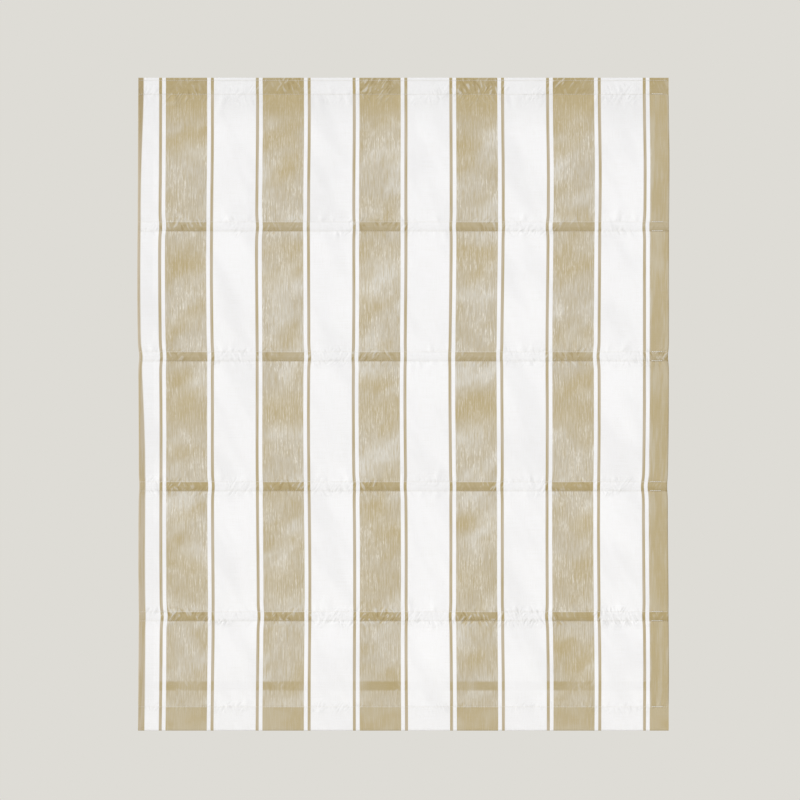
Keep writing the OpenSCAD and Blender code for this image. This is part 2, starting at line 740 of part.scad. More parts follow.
// Rod: a glass-fibre rod across the pocket, with a cap on each end.
rod_end = cloth_w / 2 - rod_inset;
rod_half = rod_end - 1.5;
rod_fit = 0.05;
module rod(k) {
    color([0.9, 0.89, 0.83]) rod_x(-rod_half, rod_half, rod_y, pocket_z(k), rod_d / 2);
}
module rod_caps(k) {
    color([0.8, 0.8, 0.78]) for (side = [0, 1]) mirror([side, 0, 0]) difference() {
        union() {
            rod_x(rod_end - rod_cap_len, rod_end - rod_cap_wall, rod_y, pocket_z(k), rod_cap_r);
            cone_x(rod_end - rod_cap_wall, rod_end, rod_y, pocket_z(k), rod_cap_r, rod_cap_r - rod_cap_wall);
        }
        rod_x(rod_half - rod_cap_len, rod_half, rod_y, pocket_z(k), rod_d / 2 + rod_fit);
    }
}

// Cord rings: moulded rings on small pads, sewn to the pocket tape.
pad_w = 12;
pad_h = 10;
module cord_rings(k) {
    color([0.95, 0.95, 0.93]) for (x = cord_x) translate([x, 0, pocket_z(k)]) {
        translate([-pad_w / 2, pad_y, -pad_h / 2]) cube([pad_w, pad_t, pad_h]);
        translate([0, cord_y, 0]) rotate_extrude()
            translate([ring_r - ring_t / 2, 0]) circle(r = ring_t / 2);
    }
}

// Anchor tape across the cloth above the hem, with an anchor for each lift cord's end.
anchor_r = 4;
anchor_foot = 3;
anchor_web = 3;
anchor_pad_y = tape_y + tape_t / 2 + layer_gap / 2;
module anchor_tape() {
    color([0.94, 0.94, 0.92]) translate([-tape_half, tape_y - tape_t / 2, anchor_z - pocket_h / 2])
        cube([2 * tape_half, tape_t, pocket_h]);
}
module cord_anchors() {
    color([0.95, 0.95, 0.93]) for (x = cord_x) translate([x, 0, anchor_z]) difference() {
        union() {
            translate([-pad_w / 2, anchor_pad_y, -pad_h / 2]) cube([pad_w, pad_t, pad_h]);
            translate([-anchor_web / 2, anchor_pad_y, -anchor_web])
                cube([anchor_web, cord_y - anchor_pad_y, 2 * anchor_web]);
            translate([0, cord_y, -anchor_high / 2]) cylinder(h = anchor_high, r = anchor_r);
            translate([0, cord_y, -anchor_high / 2 - anchor_foot])
                cylinder(h = anchor_foot, r1 = anchor_r / 2, r2 = anchor_r);
        }
        translate([0, cord_y, anchor_high / 2 - anchor_bore_deep])
            cylinder(h = anchor_bore_deep + 1, r = cord_d / 2 + soft_clear);
    }
}

// Bottom bar: a flat bar with rounded edges in the bottom hem, with a cap on each end.
bar_half = cloth_w / 2 - bar_inset - bar_cap_len;
spigot_r = bar_t * 0.3;
spigot_len = 6;
spigot_z = [bar_top - bar_h * 0.75, bar_top - bar_h * 0.25];
module bar_section() {
    polygon(concat(
        turn(hem_turn, bar_t / 2, 180, 360, 10),
        turn([hem_turn[0], bar_top - bar_t / 2], bar_t / 2, 0, 180, 10)
    ));
}
module bottom_bar() {
    color([0.8, 0.81, 0.82]) difference() {
        along_x(-bar_half, bar_half) bar_section();
        for (side = [0, 1], z = spigot_z) mirror([side, 0, 0])
            rod_x(bar_half - spigot_len - 0.5, bar_half + 1, hem_turn[0], z, spigot_r + rod_fit);
    }
}
module bar_caps() {
    color([0.85, 0.85, 0.83]) for (side = [0, 1]) mirror([side, 0, 0]) {
        along_x(bar_half, bar_half + bar_cap_len) bar_section();
        for (z = spigot_z)
            rod_x(bar_half - spigot_len, bar_half + bar_cap_len / 2, hem_turn[0], z, spigot_r);
    }
}

head_rail();
end_cap(-1);  // end_cap_left
end_cap(1);  // end_cap_right
hook_tape();
loop_tape();
bracket(-1);  // bracket_left
bracket(1);  // bracket_right
latch(-1);  // latch_left
latch(1);  // latch_right
latch_pin(-1);  // latch_pin_left
latch_pin(1);  // latch_pin_right
lift_shaft();
shaft_bush(-1);  // shaft_bush_left
shaft_bush(1);  // shaft_bush_right
spool(cord_x[0]);  // spool_left
spool(cord_x[1]);  // spool_centre
spool(cord_x[2]);  // spool_right
cradle(cord_x[0]);  // cradle_left
cradle(cord_x[1]);  // cradle_centre
cradle(cord_x[2]);  // cradle_right
output_drum();
storage_drum();
motor_plate_left();
motor_plate_right();
spring_tape();
face_cloth();
lift_cord(cord_x[0]);  // lift_cord_left
lift_cord(cord_x[1]);  // lift_cord_centre
lift_cord(cord_x[2]);  // lift_cord_right
pocket_tape(1);  // pocket_tape_1
pocket_tape(2);  // pocket_tape_2
pocket_tape(3);  // pocket_tape_3
pocket_tape(4);  // pocket_tape_4
rod(1);  // rod_1
rod(2);  // rod_2
rod(3);  // rod_3
rod(4);  // rod_4
rod_caps(1);  // rod_caps_1
rod_caps(2);  // rod_caps_2
rod_caps(3);  // rod_caps_3
rod_caps(4);  // rod_caps_4
cord_rings(1);  // cord_rings_1
cord_rings(2);  // cord_rings_2
cord_rings(3);  // cord_rings_3
cord_rings(4);  // cord_rings_4
anchor_tape();
cord_anchors();
bottom_bar();
bar_caps();
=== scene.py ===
import json
import math

import bpy
import numpy as np
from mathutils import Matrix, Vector


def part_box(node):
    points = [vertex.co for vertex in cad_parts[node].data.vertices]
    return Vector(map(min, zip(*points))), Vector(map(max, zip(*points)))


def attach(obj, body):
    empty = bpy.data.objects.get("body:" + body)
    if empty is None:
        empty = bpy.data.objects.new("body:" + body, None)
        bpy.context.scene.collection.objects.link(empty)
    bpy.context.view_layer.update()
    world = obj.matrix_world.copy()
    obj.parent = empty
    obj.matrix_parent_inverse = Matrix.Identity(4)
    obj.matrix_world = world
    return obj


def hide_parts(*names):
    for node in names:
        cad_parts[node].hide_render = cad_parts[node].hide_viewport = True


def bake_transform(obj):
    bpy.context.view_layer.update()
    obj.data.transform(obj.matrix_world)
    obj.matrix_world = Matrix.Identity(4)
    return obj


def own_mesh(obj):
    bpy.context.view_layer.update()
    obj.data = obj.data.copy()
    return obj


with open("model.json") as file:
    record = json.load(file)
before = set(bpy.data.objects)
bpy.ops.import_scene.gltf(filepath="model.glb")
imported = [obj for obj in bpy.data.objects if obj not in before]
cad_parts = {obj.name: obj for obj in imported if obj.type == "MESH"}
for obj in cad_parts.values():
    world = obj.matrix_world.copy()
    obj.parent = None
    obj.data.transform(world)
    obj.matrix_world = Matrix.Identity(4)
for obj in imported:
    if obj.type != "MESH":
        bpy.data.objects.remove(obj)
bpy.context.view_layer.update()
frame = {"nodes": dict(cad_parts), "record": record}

# Camera: square on to the front of the cloth, far enough back that the side edges stay upright. The
# cloth fills the same part of the picture as in the photograph, which is 800 pixels a side.


def put(name, data):
    """A new object in the scene, for a mesh, a lamp or a camera."""
    made = bpy.data.objects.new(name, data)
    bpy.context.scene.collection.objects.link(made)
    return made


picture_px = 800
cloth_px_wide = 530.5
cloth_px_middle = (403.5, 404.25)
camera_back = 6.0
sensor_mm = 36
cloth_lo, cloth_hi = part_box("face_cloth")
cloth_middle = (cloth_lo + cloth_hi) / 2
px = (cloth_hi.x - cloth_lo.x) / cloth_px_wide
camera = put("camera", bpy.data.cameras.new("camera"))
camera.data.sensor_width = sensor_mm
camera.data.lens = sensor_mm * camera_back / (picture_px * px)
camera.data.dof.use_dof = False
camera.location = (
    cloth_middle.x + (picture_px / 2 - cloth_px_middle[0]) * px,
    cloth_lo.y - camera_back,
    cloth_middle.z - (picture_px / 2 - cloth_px_middle[1]) * px,
)
camera.rotation_euler = (math.radians(90), 0, 0)
bpy.context.scene.camera = camera

# Stage: a plain pale floor below the blind, an even pale surround and three soft lamps. The
# surround that the camera sees is a warm pale grey, and the light it gives is a neutral white.


def srgb(red, green, blue):
    """A colour written as 0 to 255 screen values, as the linear colour that a socket takes."""
    share = [c / 255 for c in (red, green, blue)]
    return (*[c / 12.92 if c <= 0.04045 else ((c + 0.055) / 1.055) ** 2.4 for c in share], 1)


def reckon(tree, operation, *values, clamp=False):
    """A Math node. Each value is a number or another node's output."""
    node = tree.nodes.new("ShaderNodeMath")
    node.operation = operation
    node.use_clamp = clamp
    for socket, value in zip(node.inputs, values):
        if isinstance(value, (int, float)):
            socket.default_value = value
        else:
            tree.links.new(value, socket)
    return node.outputs[0]


def largest(tree, first, *others):
    """The largest of several values."""
    for value in others:
        first = reckon(tree, "MAXIMUM", first, value)
    return first


def finish(name, rough=0.5, metal=0.0):
    """A new material: the material, its node tree and its shader."""
    material = bpy.data.materials.new(name)
    material.use_nodes = True
    shader = material.node_tree.nodes["Principled BSDF"]
    shader.inputs["Roughness"].default_value = rough
    shader.inputs["Metallic"].default_value = metal
    return material, material.node_tree, shader


def mesh_of(name, points, faces):
    """A new smooth mesh."""
    mesh = bpy.data.meshes.new(name)
    mesh.from_pydata(points, [], faces)
    mesh.shade_smooth()
    return mesh


bpy.context.scene.view_settings.view_transform = "Standard"
surround_colour = srgb(222, 220, 214)
surround_light = 0.455
world = bpy.data.worlds.new("surround")
bpy.context.scene.world = world
world.use_nodes = True
sky = world.node_tree
sky.nodes.clear()
seen = sky.nodes.new("ShaderNodeBackground")
seen.inputs["Color"].default_value = surround_colour
lit = sky.nodes.new("ShaderNodeBackground")
lit.inputs["Color"].default_value = (1, 1, 1, 1)
lit.inputs["Strength"].default_value = surround_light
rays = sky.nodes.new("ShaderNodeLightPath").outputs
straight = largest(sky, rays["Is Camera Ray"], rays["Is Glossy Ray"], rays["Is Transmission Ray"])
either = sky.nodes.new("ShaderNodeMixShader")
sky.links.new(straight, either.inputs[0])
sky.links.new(lit.outputs[0], either.inputs[1])
sky.links.new(seen.outputs[0], either.inputs[2])
sky.links.new(either.outputs[0], sky.nodes.new("ShaderNodeOutputWorld").inputs[0])

# Each lamp has its name, where it stands, how many degrees wide it looks and its strength.
for name, place, degrees_wide, strength in (
    ("key_lamp", (-5.2, -3.6, 2.2), 14, 2.02),
    ("fill_lamp", (3.0, -5.0, -0.4), 40, 0.42),
    ("back_lamp", (2.0, 5.5, 1.2), 80, 1.5),
):
    lamp = put(name, bpy.data.lights.new(name, "SUN"))
    lamp.data.angle = math.radians(degrees_wide)
    lamp.data.energy = strength
    lamp.location = place
    lamp.rotation_euler = (cloth_middle - Vector(place)).to_track_quat("-Z", "Y").to_euler()

floor_drop = 0.45
floor_half = 4.0
floor_front = -5.0
floor_back = 2.4
floor_z = cloth_lo.z - floor_drop
floor_corners = [
    (-floor_half, floor_front, floor_z),
    (floor_half, floor_front, floor_z),
    (floor_half, floor_back, floor_z),
    (-floor_half, floor_back, floor_z),
]
floor = put("floor", mesh_of("floor", floor_corners, [(0, 1, 2, 3)]))
floor_finish, tree, shader = finish("pale_floor", rough=0.8)
shader.inputs["Base Color"].default_value = srgb(235, 233, 227)
floor.data.materials.append(floor_finish)

# Face cloth: one width of white faux silk with tan stripes woven in. Its header, sides and hem are
# turned to the back and sewn. The folds, bows and puckers are moved into the mesh point by point.
cloth_thick = 0.0006
layer_gap = 0.0002
header_high = 0.031
hem_high = 0.045
hem_lap = 0.004
side_turn = 0.028
pocket_high = 0.017
bar_clearance = 0.0003
half_wide = cloth_hi.x
cloth_top, cloth_bottom = cloth_hi.z, cloth_lo.z
turned_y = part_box("loop_tape")[0].y - cloth_thick / 2
face_y = turned_y - cloth_thick - layer_gap
header_z = cloth_top - header_high
hem_z = cloth_bottom + hem_high
bar_lo, bar_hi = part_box("bottom_bar")
anchor_lo, anchor_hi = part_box("anchor_tape")
rods = (1, 2, 3, 4)
rod_z = [sum(corner.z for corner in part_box(f"rod_{k}")) / 2 for k in rods]
seam_z = [header_z]
for z in rod_z:
    seam_z += [z + pocket_high / 2, z - pocket_high / 2]
seam_z.append(hem_z)


def graded(z0, z1, steps):
    """Levels from z0 to just before z1, closer together near both ends."""
    even = 0.3
    t = np.arange(steps) / steps
    return z0 + (z1 - z0) * (even * t + (1 - even) / 2 * (1 - np.cos(np.pi * t)))


header_steps = 8
panel_steps = 30
pocket_steps = 8
hem_steps = 9
top_round = (turned_y - face_y) / 2
top_turn_z = cloth_top - cloth_thick / 2 - top_round
hem_round = (bar_hi.y - bar_lo.y + cloth_thick) / 2 + bar_clearance
bottom_turn_z = cloth_bottom + cloth_thick / 2 + hem_round
front_z = [graded(top_turn_z, header_z, header_steps)]
for i in range(len(seam_z) - 1):
    front_z.append(graded(seam_z[i], seam_z[i + 1], pocket_steps if i % 2 else panel_steps))
front_z.append(graded(hem_z, bottom_turn_z, hem_steps))
front_z = np.concatenate(front_z)
columns = 396
front_x = np.linspace(-half_wide, half_wide, columns)

# Sway: long low waves over the panels, each with its length, the way it heads and where it starts.
belly = 0.003
rod_bulge = 0.001
sway_count = 20
sway_slope = 0.0012
pocket_sway = 0.1
dice = np.random.default_rng(11)
sway_waves = [
    (dice.uniform(0.11, 0.34), dice.uniform(0.05, 0.8) * dice.choice((-1, 1)), dice.uniform(0, 2 * math.pi))
    for _ in range(sway_count)
]

# Puckers run out from each seam: its level, the way they run, how many, the longest and the highest.
pucker_rows = [
    (header_z, -1, 60, 0.070, 0.0013),
    (header_z, 1, 44, 0.026, 0.0010),
    (hem_z, 1, 44, 0.030, 0.0008),
    (hem_z, -1, 30, 0.020, 0.0007),
]
for z in rod_z:
    pucker_rows += [
        (z + pocket_high / 2, 1, 64, 0.042, 0.0016),
        (z + pocket_high / 2, -1, 60, 0.012, 0.0009),
        (z - pocket_high / 2, -1, 64, 0.036, 0.0014),
        (z - pocket_high / 2, 1, 60, 0.012, 0.0009),
    ]
pucker_start = 0.002
pucker_lean = 0.42
pucker_steepest = 0.04
pucker_widening = 0.004
highest_fold = 0.0014
puckers = []
for level, way, count, longest, highest in pucker_rows:
    for _ in range(count):
        size = dice.beta(1.3, 3.0)
        long = longest * (0.2 + 0.8 * size)
        high = min(highest * (0.25 + 0.75 * size), pucker_steepest * long)
        middle_x = dice.uniform(-half_wide, half_wide)
        lean = dice.normal(0, pucker_lean)
        wide = dice.uniform(0.0026, 0.0038) + pucker_widening * size
        puckers.append((middle_x, level, way, lean, long, wide, high))


def between_seams(z):
    """Which stretch between two seams each level is in, and how far down that stretch, 0 to 1."""
    levels = np.array(seam_z)
    i = np.clip(np.searchsorted(-levels, -z, side="right") - 1, 0, len(levels) - 2)
    return i, np.clip((levels[i] - z) / (levels[i] - levels[i + 1]), 0, 1)


def forward(x, z):
    """How far the front of the cloth stands forward of its flat plane at each point."""
    stretch, down = between_seams(z)
    in_pocket = stretch % 2 == 1
    bow = np.sin(np.pi * down)
    out = np.where(in_pocket, rod_bulge, belly) * bow
    sway = np.zeros_like(out)
    for long, heading, phase in sway_waves:
        run = x * math.cos(heading) + z * math.sin(heading)
        sway += long * np.sin(2 * math.pi * run / long + phase)
    out += sway_slope * sway * np.where(in_pocket, pocket_sway, 1) * np.sqrt(bow)
    folds = np.zeros_like(out)
    for middle_x, level, way, lean, long, wide, high in puckers:
        run = (z - level) * way
        near = (run > 0) & (run < long) & (np.abs(x - middle_x) < 4 * wide + long)
        run = run[near]
        off_line = x[near] - middle_x - lean * run
        opening = wide * (0.55 + 0.9 * run / long)
        ridge = high * np.exp(-(off_line / opening) ** 2) * (1 - run / long)
        folds[near] += ridge * np.minimum(1, run / pucker_start)
    return out + highest_fold * np.tanh(folds / highest_fold)


wander_wide = 0.0011
draw_reach = 0.015
draw_in = 0.0012
ripple_wide = 0.0011
ripple_rate = 41
ripple_shift = 2.3


def aside(x, z):
    """How far the weave has wandered sideways at each point, and is drawn in along the rod pockets."""
    drop = (cloth_top - z) / (cloth_top - cloth_bottom)
    left = 1 - (x + half_wide) / (2 * half_wide)
    wander = np.sin(2.2 * math.pi * drop + 3.1 * left) + 0.5 * np.sin(5.3 * math.pi * drop - 7 * left)
    shift = wander_wide * wander * np.minimum(1, 8 * drop)
    for k, level in enumerate(rod_z):
        near = np.exp(-((z - level) / draw_reach) ** 2)
        ripple = ripple_wide * np.sin(ripple_rate * x + ripple_shift * k)
        shift += near * (ripple - draw_in * x / half_wide)
    return shift


# The rows of the whole sheet in order: up the header's back, over the top, down the front, round the
# bottom bar, up the hem's back, and the lap that is sewn down.
back_steps = 6
turn_steps = 8
lap_steps = 3
header_back_z = np.linspace(header_z, top_turn_z, back_steps)
top_turn = np.linspace(0, math.pi, back_steps)[1:-1]
bottom_turn = np.linspace(math.pi, 2 * math.pi, turn_steps)
hem_back_z = np.linspace(bottom_turn_z, bar_hi.z + bar_clearance, turn_steps)[1:]
hem_lap_z = np.linspace(hem_z, hem_z + hem_lap, lap_steps)
stretches = [
    (np.full(len(header_back_z), turned_y), header_back_z),
    (face_y + top_round + top_round * np.cos(top_turn), top_turn_z + top_round * np.sin(top_turn)),
    (np.full(len(front_z), face_y), front_z),
    (face_y + hem_round + hem_round * np.cos(bottom_turn), bottom_turn_z + hem_round * np.sin(bottom_turn)),
    (np.full(len(hem_back_z), face_y + 2 * hem_round), hem_back_z),
    (np.full(len(hem_lap_z), turned_y), hem_lap_z),
]
row_y = np.concatenate([y for y, z in stretches])
row_z = np.concatenate([z for y, z in stretches])
front_from = len(header_back_z) + len(top_turn)
front_to = front_from + len(front_z)
flat_run = np.concatenate([[0], np.cumsum(np.hypot(np.diff(row_y), np.diff(row_z)))])
flat_long = flat_run[-1]
flat_wide = 2 * half_wide + 2 * side_turn
from_top = flat_run - flat_run[front_from]


def quads(index):
    """The faces between neighbouring points of a grid of point numbers."""
    corners = [index[:-1, :-1], index[1:, :-1], index[1:, 1:], index[:-1, 1:]]
    return np.stack(corners, axis=2).reshape(-1, 4)


grid_x, grid_z = np.meshgrid(front_x, row_z)
grid_y = np.repeat(row_y[:, None], columns, axis=1)
on_front = slice(front_from, front_to)
grid_y[on_front] -= forward(grid_x[on_front], grid_z[on_front])
points = np.stack([grid_x + aside(grid_x, grid_z), grid_y, grid_z], axis=2).reshape(-1, 3)
plan = np.stack(np.meshgrid(front_x + half_wide, from_top), axis=2).reshape(-1, 2)
index = np.arange(grid_x.size).reshape(grid_x.shape)
faces = [quads(index)]

# The side hems lie behind the front, joined to it round the side edges. They stop short of the header
# and of the hem's lap.
side_steps = 7
edge_out = 0.0002
edge_in = 0.0006
header_clearance = 0.0015
side_back = cloth_thick + layer_gap
side_ends = (hem_z + hem_lap + layer_gap, header_z - header_clearance)
side_rows = np.arange(front_from, front_to)
side_rows = side_rows[(row_z[side_rows] > side_ends[0]) & (row_z[side_rows] < side_ends[1])]
fold_in = np.concatenate([[-edge_out, edge_in], np.linspace(side_turn / side_steps, side_turn, side_steps)])
fold_back = np.full(len(fold_in), side_back)
fold_back[0] = side_back / 2
for side, edge in ((-1, 0), (1, columns - 1)):
    strip_x, strip_z = np.meshgrid(side * (half_wide - fold_in), row_z[side_rows])
    held_x = np.clip(strip_x, -half_wide, half_wide)
    strip_y = face_y - forward(held_x, strip_z) + fold_back
    strip = np.stack([strip_x + aside(held_x, strip_z), strip_y, strip_z], axis=2)
    strip_u = -fold_in if side < 0 else 2 * half_wide + fold_in
    strip_plan = np.stack(np.meshgrid(strip_u, from_top[side_rows]), axis=2)
    strip_index = len(points) + np.arange(strip_x.size).reshape(strip_x.shape)
    joined = quads(np.column_stack([index[side_rows, edge], strip_index]))
    faces.append(joined if side > 0 else joined[:, ::-1])
    points = np.concatenate([points, strip.reshape(-1, 3)])
    plan = np.concatenate([plan, strip_plan.reshape(-1, 2)])
faces = np.concatenate(faces)


def lay_out(mesh, name, places):
    """Keeps each point's place on the flat piece with the mesh, for a shader to read."""
    flat = np.column_stack([places, np.zeros(len(places))])
    kept = mesh.attributes.new(name, "FLOAT_VECTOR", "POINT")
    kept.data.foreach_set("vector", flat.astype(np.float32).ravel())


map_edge = 0.004
cloth_mesh = mesh_of("face_cloth_sheet", points.tolist(), faces.tolist())
lay_out(cloth_mesh, "plan", plan)
corner_point = np.zeros(len(cloth_mesh.loops), np.int32)
cloth_mesh.loops.foreach_get("vertex_index", corner_point)
across_map = (plan[:, 0] + side_turn) / flat_wide
down_map = 1 - (plan[:, 1] + flat_run[front_from]) / flat_long
spread = map_edge + (1 - 2 * map_edge) * np.column_stack([across_map, down_map])
flat_map = cloth_mesh.uv_layers.new(name="OFBake")
flat_map.data.foreach_set("uv", spread[corner_point].astype(np.float32).ravel())
cloth = put("striped_cloth", cloth_mesh)


def times(tree, first, *others):
    """The product of several values."""
    for value in others:
        first = reckon(tree, "MULTIPLY", first, value)
    return first


def ramp(tree, value, gain, start):
    """A start, plus a gain times a value."""
    return reckon(tree, "MULTIPLY_ADD", value, gain, start)


def dimmed(tree, value, mask, loss):
    """A value that loses a share of itself where a mask is 1."""
    return times(tree, value, ramp(tree, mask, -loss, 1.0))


def soft_step(tree, value, low, high):
    """0 below low, 1 above high and a smooth rise between."""
    node = tree.nodes.new("ShaderNodeMapRange")
    node.interpolation_type = "SMOOTHSTEP"
    tree.links.new(value, node.inputs["Value"])
    node.inputs["From Min"].default_value = low
    node.inputs["From Max"].default_value = high
    return node.outputs[0]


def soft_fall(tree, value, low, high):
    """1 below low, 0 above high and a smooth fall between."""
    return soft_step(tree, times(tree, value, -1.0), -high, -low)


def close_to(tree, value, level, near, far):
    """1 where a value is within near of a level, 0 where it is past far, and a smooth fall between."""
    return soft_fall(tree, reckon(tree, "ABSOLUTE", reckon(tree, "SUBTRACT", value, level)), near, far)


def band(tree, value, low, high, blur):
    """1 between low and high, 0 outside, with edges that are twice blur wide."""
    rise = soft_step(tree, value, low - blur, low + blur)
    return reckon(tree, "SUBTRACT", rise, soft_step(tree, value, high - blur, high + blur), clamp=True)


def past_nearest(tree, value, first, pitch):
    """How far a value is past the nearest of a row of levels that start at first, a pitch apart."""
    pitches = reckon(tree, "DIVIDE", reckon(tree, "SUBTRACT", value, first), pitch)
    share = reckon(tree, "SUBTRACT", reckon(tree, "FRACT", reckon(tree, "ADD", pitches, 0.5)), 0.5)
    return times(tree, share, pitch)


def speckle(tree, across, along, size, detail=2.0, rough=0.5):
    """Noise from 0 to 1 whose grains have about a size across and along, in metres."""
    spot = tree.nodes.new("ShaderNodeCombineXYZ")
    for socket, value, length in zip(spot.inputs, (across, along), size):
        tree.links.new(reckon(tree, "DIVIDE", value, length), socket)
    node = tree.nodes.new("ShaderNodeTexNoise")
    node.noise_dimensions = "2D"
    tree.links.new(spot.outputs[0], node.inputs["Vector"])
    node.inputs["Scale"].default_value = 1
    node.inputs["Detail"].default_value = detail
    node.inputs["Roughness"].default_value = rough
    return node.outputs["Fac"]


def patches(tree, across, along, size, edges, detail=1.0, rough=0.5):
    """Soft-edged patches: speckle that is 0 below its first edge and 1 above its second."""
    return soft_step(tree, speckle(tree, across, along, size, detail, rough), *edges)


def tint(tree, share, first, second, most=1.0):
    """Mixes two colours, each a colour or another node's output, by share times most of the second."""
    node = tree.nodes.new("ShaderNodeMix")
    node.data_type = "RGBA"
    tree.links.new(share if most == 1.0 else times(tree, share, most), node.inputs["Factor"])
    for socket, colour in ((node.inputs[6], first), (node.inputs[7], second)):
        if isinstance(colour, tuple):
            socket.default_value = colour
        else:
            tree.links.new(colour, socket)
    return node.outputs[2]


def gloss(tree, shader, share, smoothest, roughest):
    """Roughness that goes from one value to another as a share goes from 0 to 1."""
    tree.links.new(ramp(tree, share, roughest - smoothest, smoothest), shader.inputs["Roughness"])


def relief(tree, shader, height, strength, depth):
    """Bump on the shader's normal from a height of 0 to 1 that is depth metres deep."""
    node = tree.nodes.new("ShaderNodeBump")
    node.inputs["Strength"].default_value = strength
    node.inputs["Distance"].default_value = depth
    tree.links.new(height, node.inputs["Height"])
    tree.links.new(node.outputs[0], shader.inputs["Normal"])


def split(tree, place):
    """A place's x, y and z."""
    node = tree.nodes.new("ShaderNodeSeparateXYZ")
    tree.links.new(place, node.inputs[0])
    return tuple(node.outputs)


def laid_out(tree, name):
    """The place on the flat piece that lay_out kept, across and along."""
    spot = tree.nodes.new("ShaderNodeAttribute")
    spot.attribute_name = name
    return split(tree, spot.outputs["Vector"])[:2]


def shared_effect(name, inputs, outputs):
    """A new node group with named sockets, numbers or places: the group, its inputs and its outputs."""
    group = bpy.data.node_groups.new(name, "ShaderNodeTree")
    for label, value in inputs.items():
        kind = "NodeSocketVector" if isinstance(value, tuple) else "NodeSocketFloat"
        group.interface.new_socket(label, in_out="INPUT", socket_type=kind).default_value = value
    for label in outputs:
        group.interface.new_socket(label, in_out="OUTPUT", socket_type="NodeSocketFloat")
    return group, group.nodes.new("NodeGroupInput").outputs, group.nodes.new("NodeGroupOutput").inputs


def place_effect(tree, group, **values):
    """Puts a node group in a material, with each input a number or another node's output."""
    node = tree.nodes.new("ShaderNodeGroup")
    node.node_tree = group
    for label, value in values.items():
        if isinstance(value, (int, float)):
            node.inputs[label].default_value = value
        else:
            tree.links.new(value, node.inputs[label])
    return node.outputs


# Plain weave, shared by the cloth and the tapes: yarns over and under, of uneven thickness.
yarn_thick = 0.0007
warp_slub = 0.030
weft_slub = 0.040
weave, weave_in, weave_out = shared_effect(
    "plain_weave", {"Across": 0.0, "Along": 0.0, "Pitch": 0.0005}, ("Height", "Shade"))
crossings = [
    reckon(weave, "SINE", times(weave, reckon(weave, "DIVIDE", weave_in[way], weave_in["Pitch"]), math.pi))
    for way in ("Across", "Along")
]
warp_yarn = speckle(weave, weave_in["Across"], weave_in["Along"], size=(yarn_thick, warp_slub))
weft_yarn = speckle(weave, weave_in["Across"], weave_in["Along"], size=(weft_slub, yarn_thick))
uneven = times(weave, reckon(weave, "ADD", warp_yarn, weft_yarn), 0.5)
weave.links.new(ramp(weave, times(weave, *crossings), 0.25, uneven), weave_out["Height"])
weave.links.new(uneven, weave_out["Shade"])

# The cloth's pattern and colours, and the bands of painted fold shade that lie across it: how far down,
# wide and strong.
stripe_wide = 0.077
pin_wide = 0.0056
pin_gap = 0.007
white_wide = 0.0784
first_stripe = 0.0513
stripe_blur = 0.0004
edge_least = 0.0048
edge_more_at_top = 0.0048
edge_more_low_down = 0.0068
fold_shade_bands = ((0.325, 0.045, 0.35), (0.622, 0.060, 0.72), (0.940, 0.080, 0.50))
# Tans: grey_tan and pale_tan give the painted sheen and highlights, golden_tan the tan without sheen, for
# painted shade and dark yarns, pale_yarn_and_glint_tan the painted glints and pale yarns.
grey_tan = srgb(198, 190, 174)
golden_tan = srgb(184, 166, 122)
pale_tan = srgb(219, 216, 209)
pale_yarn_and_glint_tan = srgb(239, 235, 226)
# pocket_tan and hem_tan are the doubled cloth, darker as painted shade; sheen_tan is painted sheen;
# seam_tan is the darkest tan, for painted shade at seams and gathers and for the top of the left strip.
pocket_tan = srgb(178, 160, 115)
hem_tan = srgb(188, 173, 139)
sheen_tan = srgb(207, 201, 186)
pin_tan = srgb(190, 175, 149)
seam_tan = srgb(163, 143, 97)
# White, and below it the colours of painted shade: in creases, on the doubled cloth, under the header, in
# the gathers' hollows and between the yarns.
white = srgb(249, 249, 251)
shaded_white = srgb(243, 243, 245)
deep_shade_white = srgb(229, 229, 230)
yarn_shade = srgb(206, 200, 186)

cloth_finish, tree, shader = finish("striped_faux_silk")
shader.inputs["Specular IOR Level"].default_value = 0.25
shader.inputs["Sheen Weight"].default_value = 0.12
shader.inputs["Sheen Roughness"].default_value = 0.4
u, v = laid_out(tree, "plan")
rising = ramp(tree, v, 0.6, u)
falling = ramp(tree, v, -0.45, u)

# Where the stripes lie: broad ones with a pin stripe either side, and a strip left at the left edge.
stripe_repeat = stripe_wide + 2 * (pin_gap + pin_wide) + white_wide
lead = pin_gap + pin_wide + white_wide / 2
in_repeat = reckon(tree, "DIVIDE", reckon(tree, "SUBTRACT", u, first_stripe - lead), stripe_repeat)
in_repeat = times(tree, reckon(tree, "FRACT", in_repeat), stripe_repeat)
broad = band(tree, in_repeat, lead, lead + stripe_wide, stripe_blur)
pin_left = band(tree, in_repeat, lead - pin_gap - pin_wide, lead - pin_gap, stripe_blur)
pin_right_from = lead + stripe_wide + pin_gap
pin_right = band(tree, in_repeat, pin_right_from, pin_right_from + pin_wide, stripe_blur)
near_top = soft_fall(tree, v, 0.01, 0.22)
edge_wide = ramp(tree, soft_step(tree, v, 0.46, 0.74), edge_more_low_down, edge_least)
edge_wide = ramp(tree, near_top, edge_more_at_top, edge_wide)
edge_strip = soft_step(tree, reckon(tree, "SUBTRACT", edge_wide, u), -0.0016, 0.0010)
lines = largest(tree, pin_left, pin_right, edge_strip)
tans = largest(tree, broad, lines)

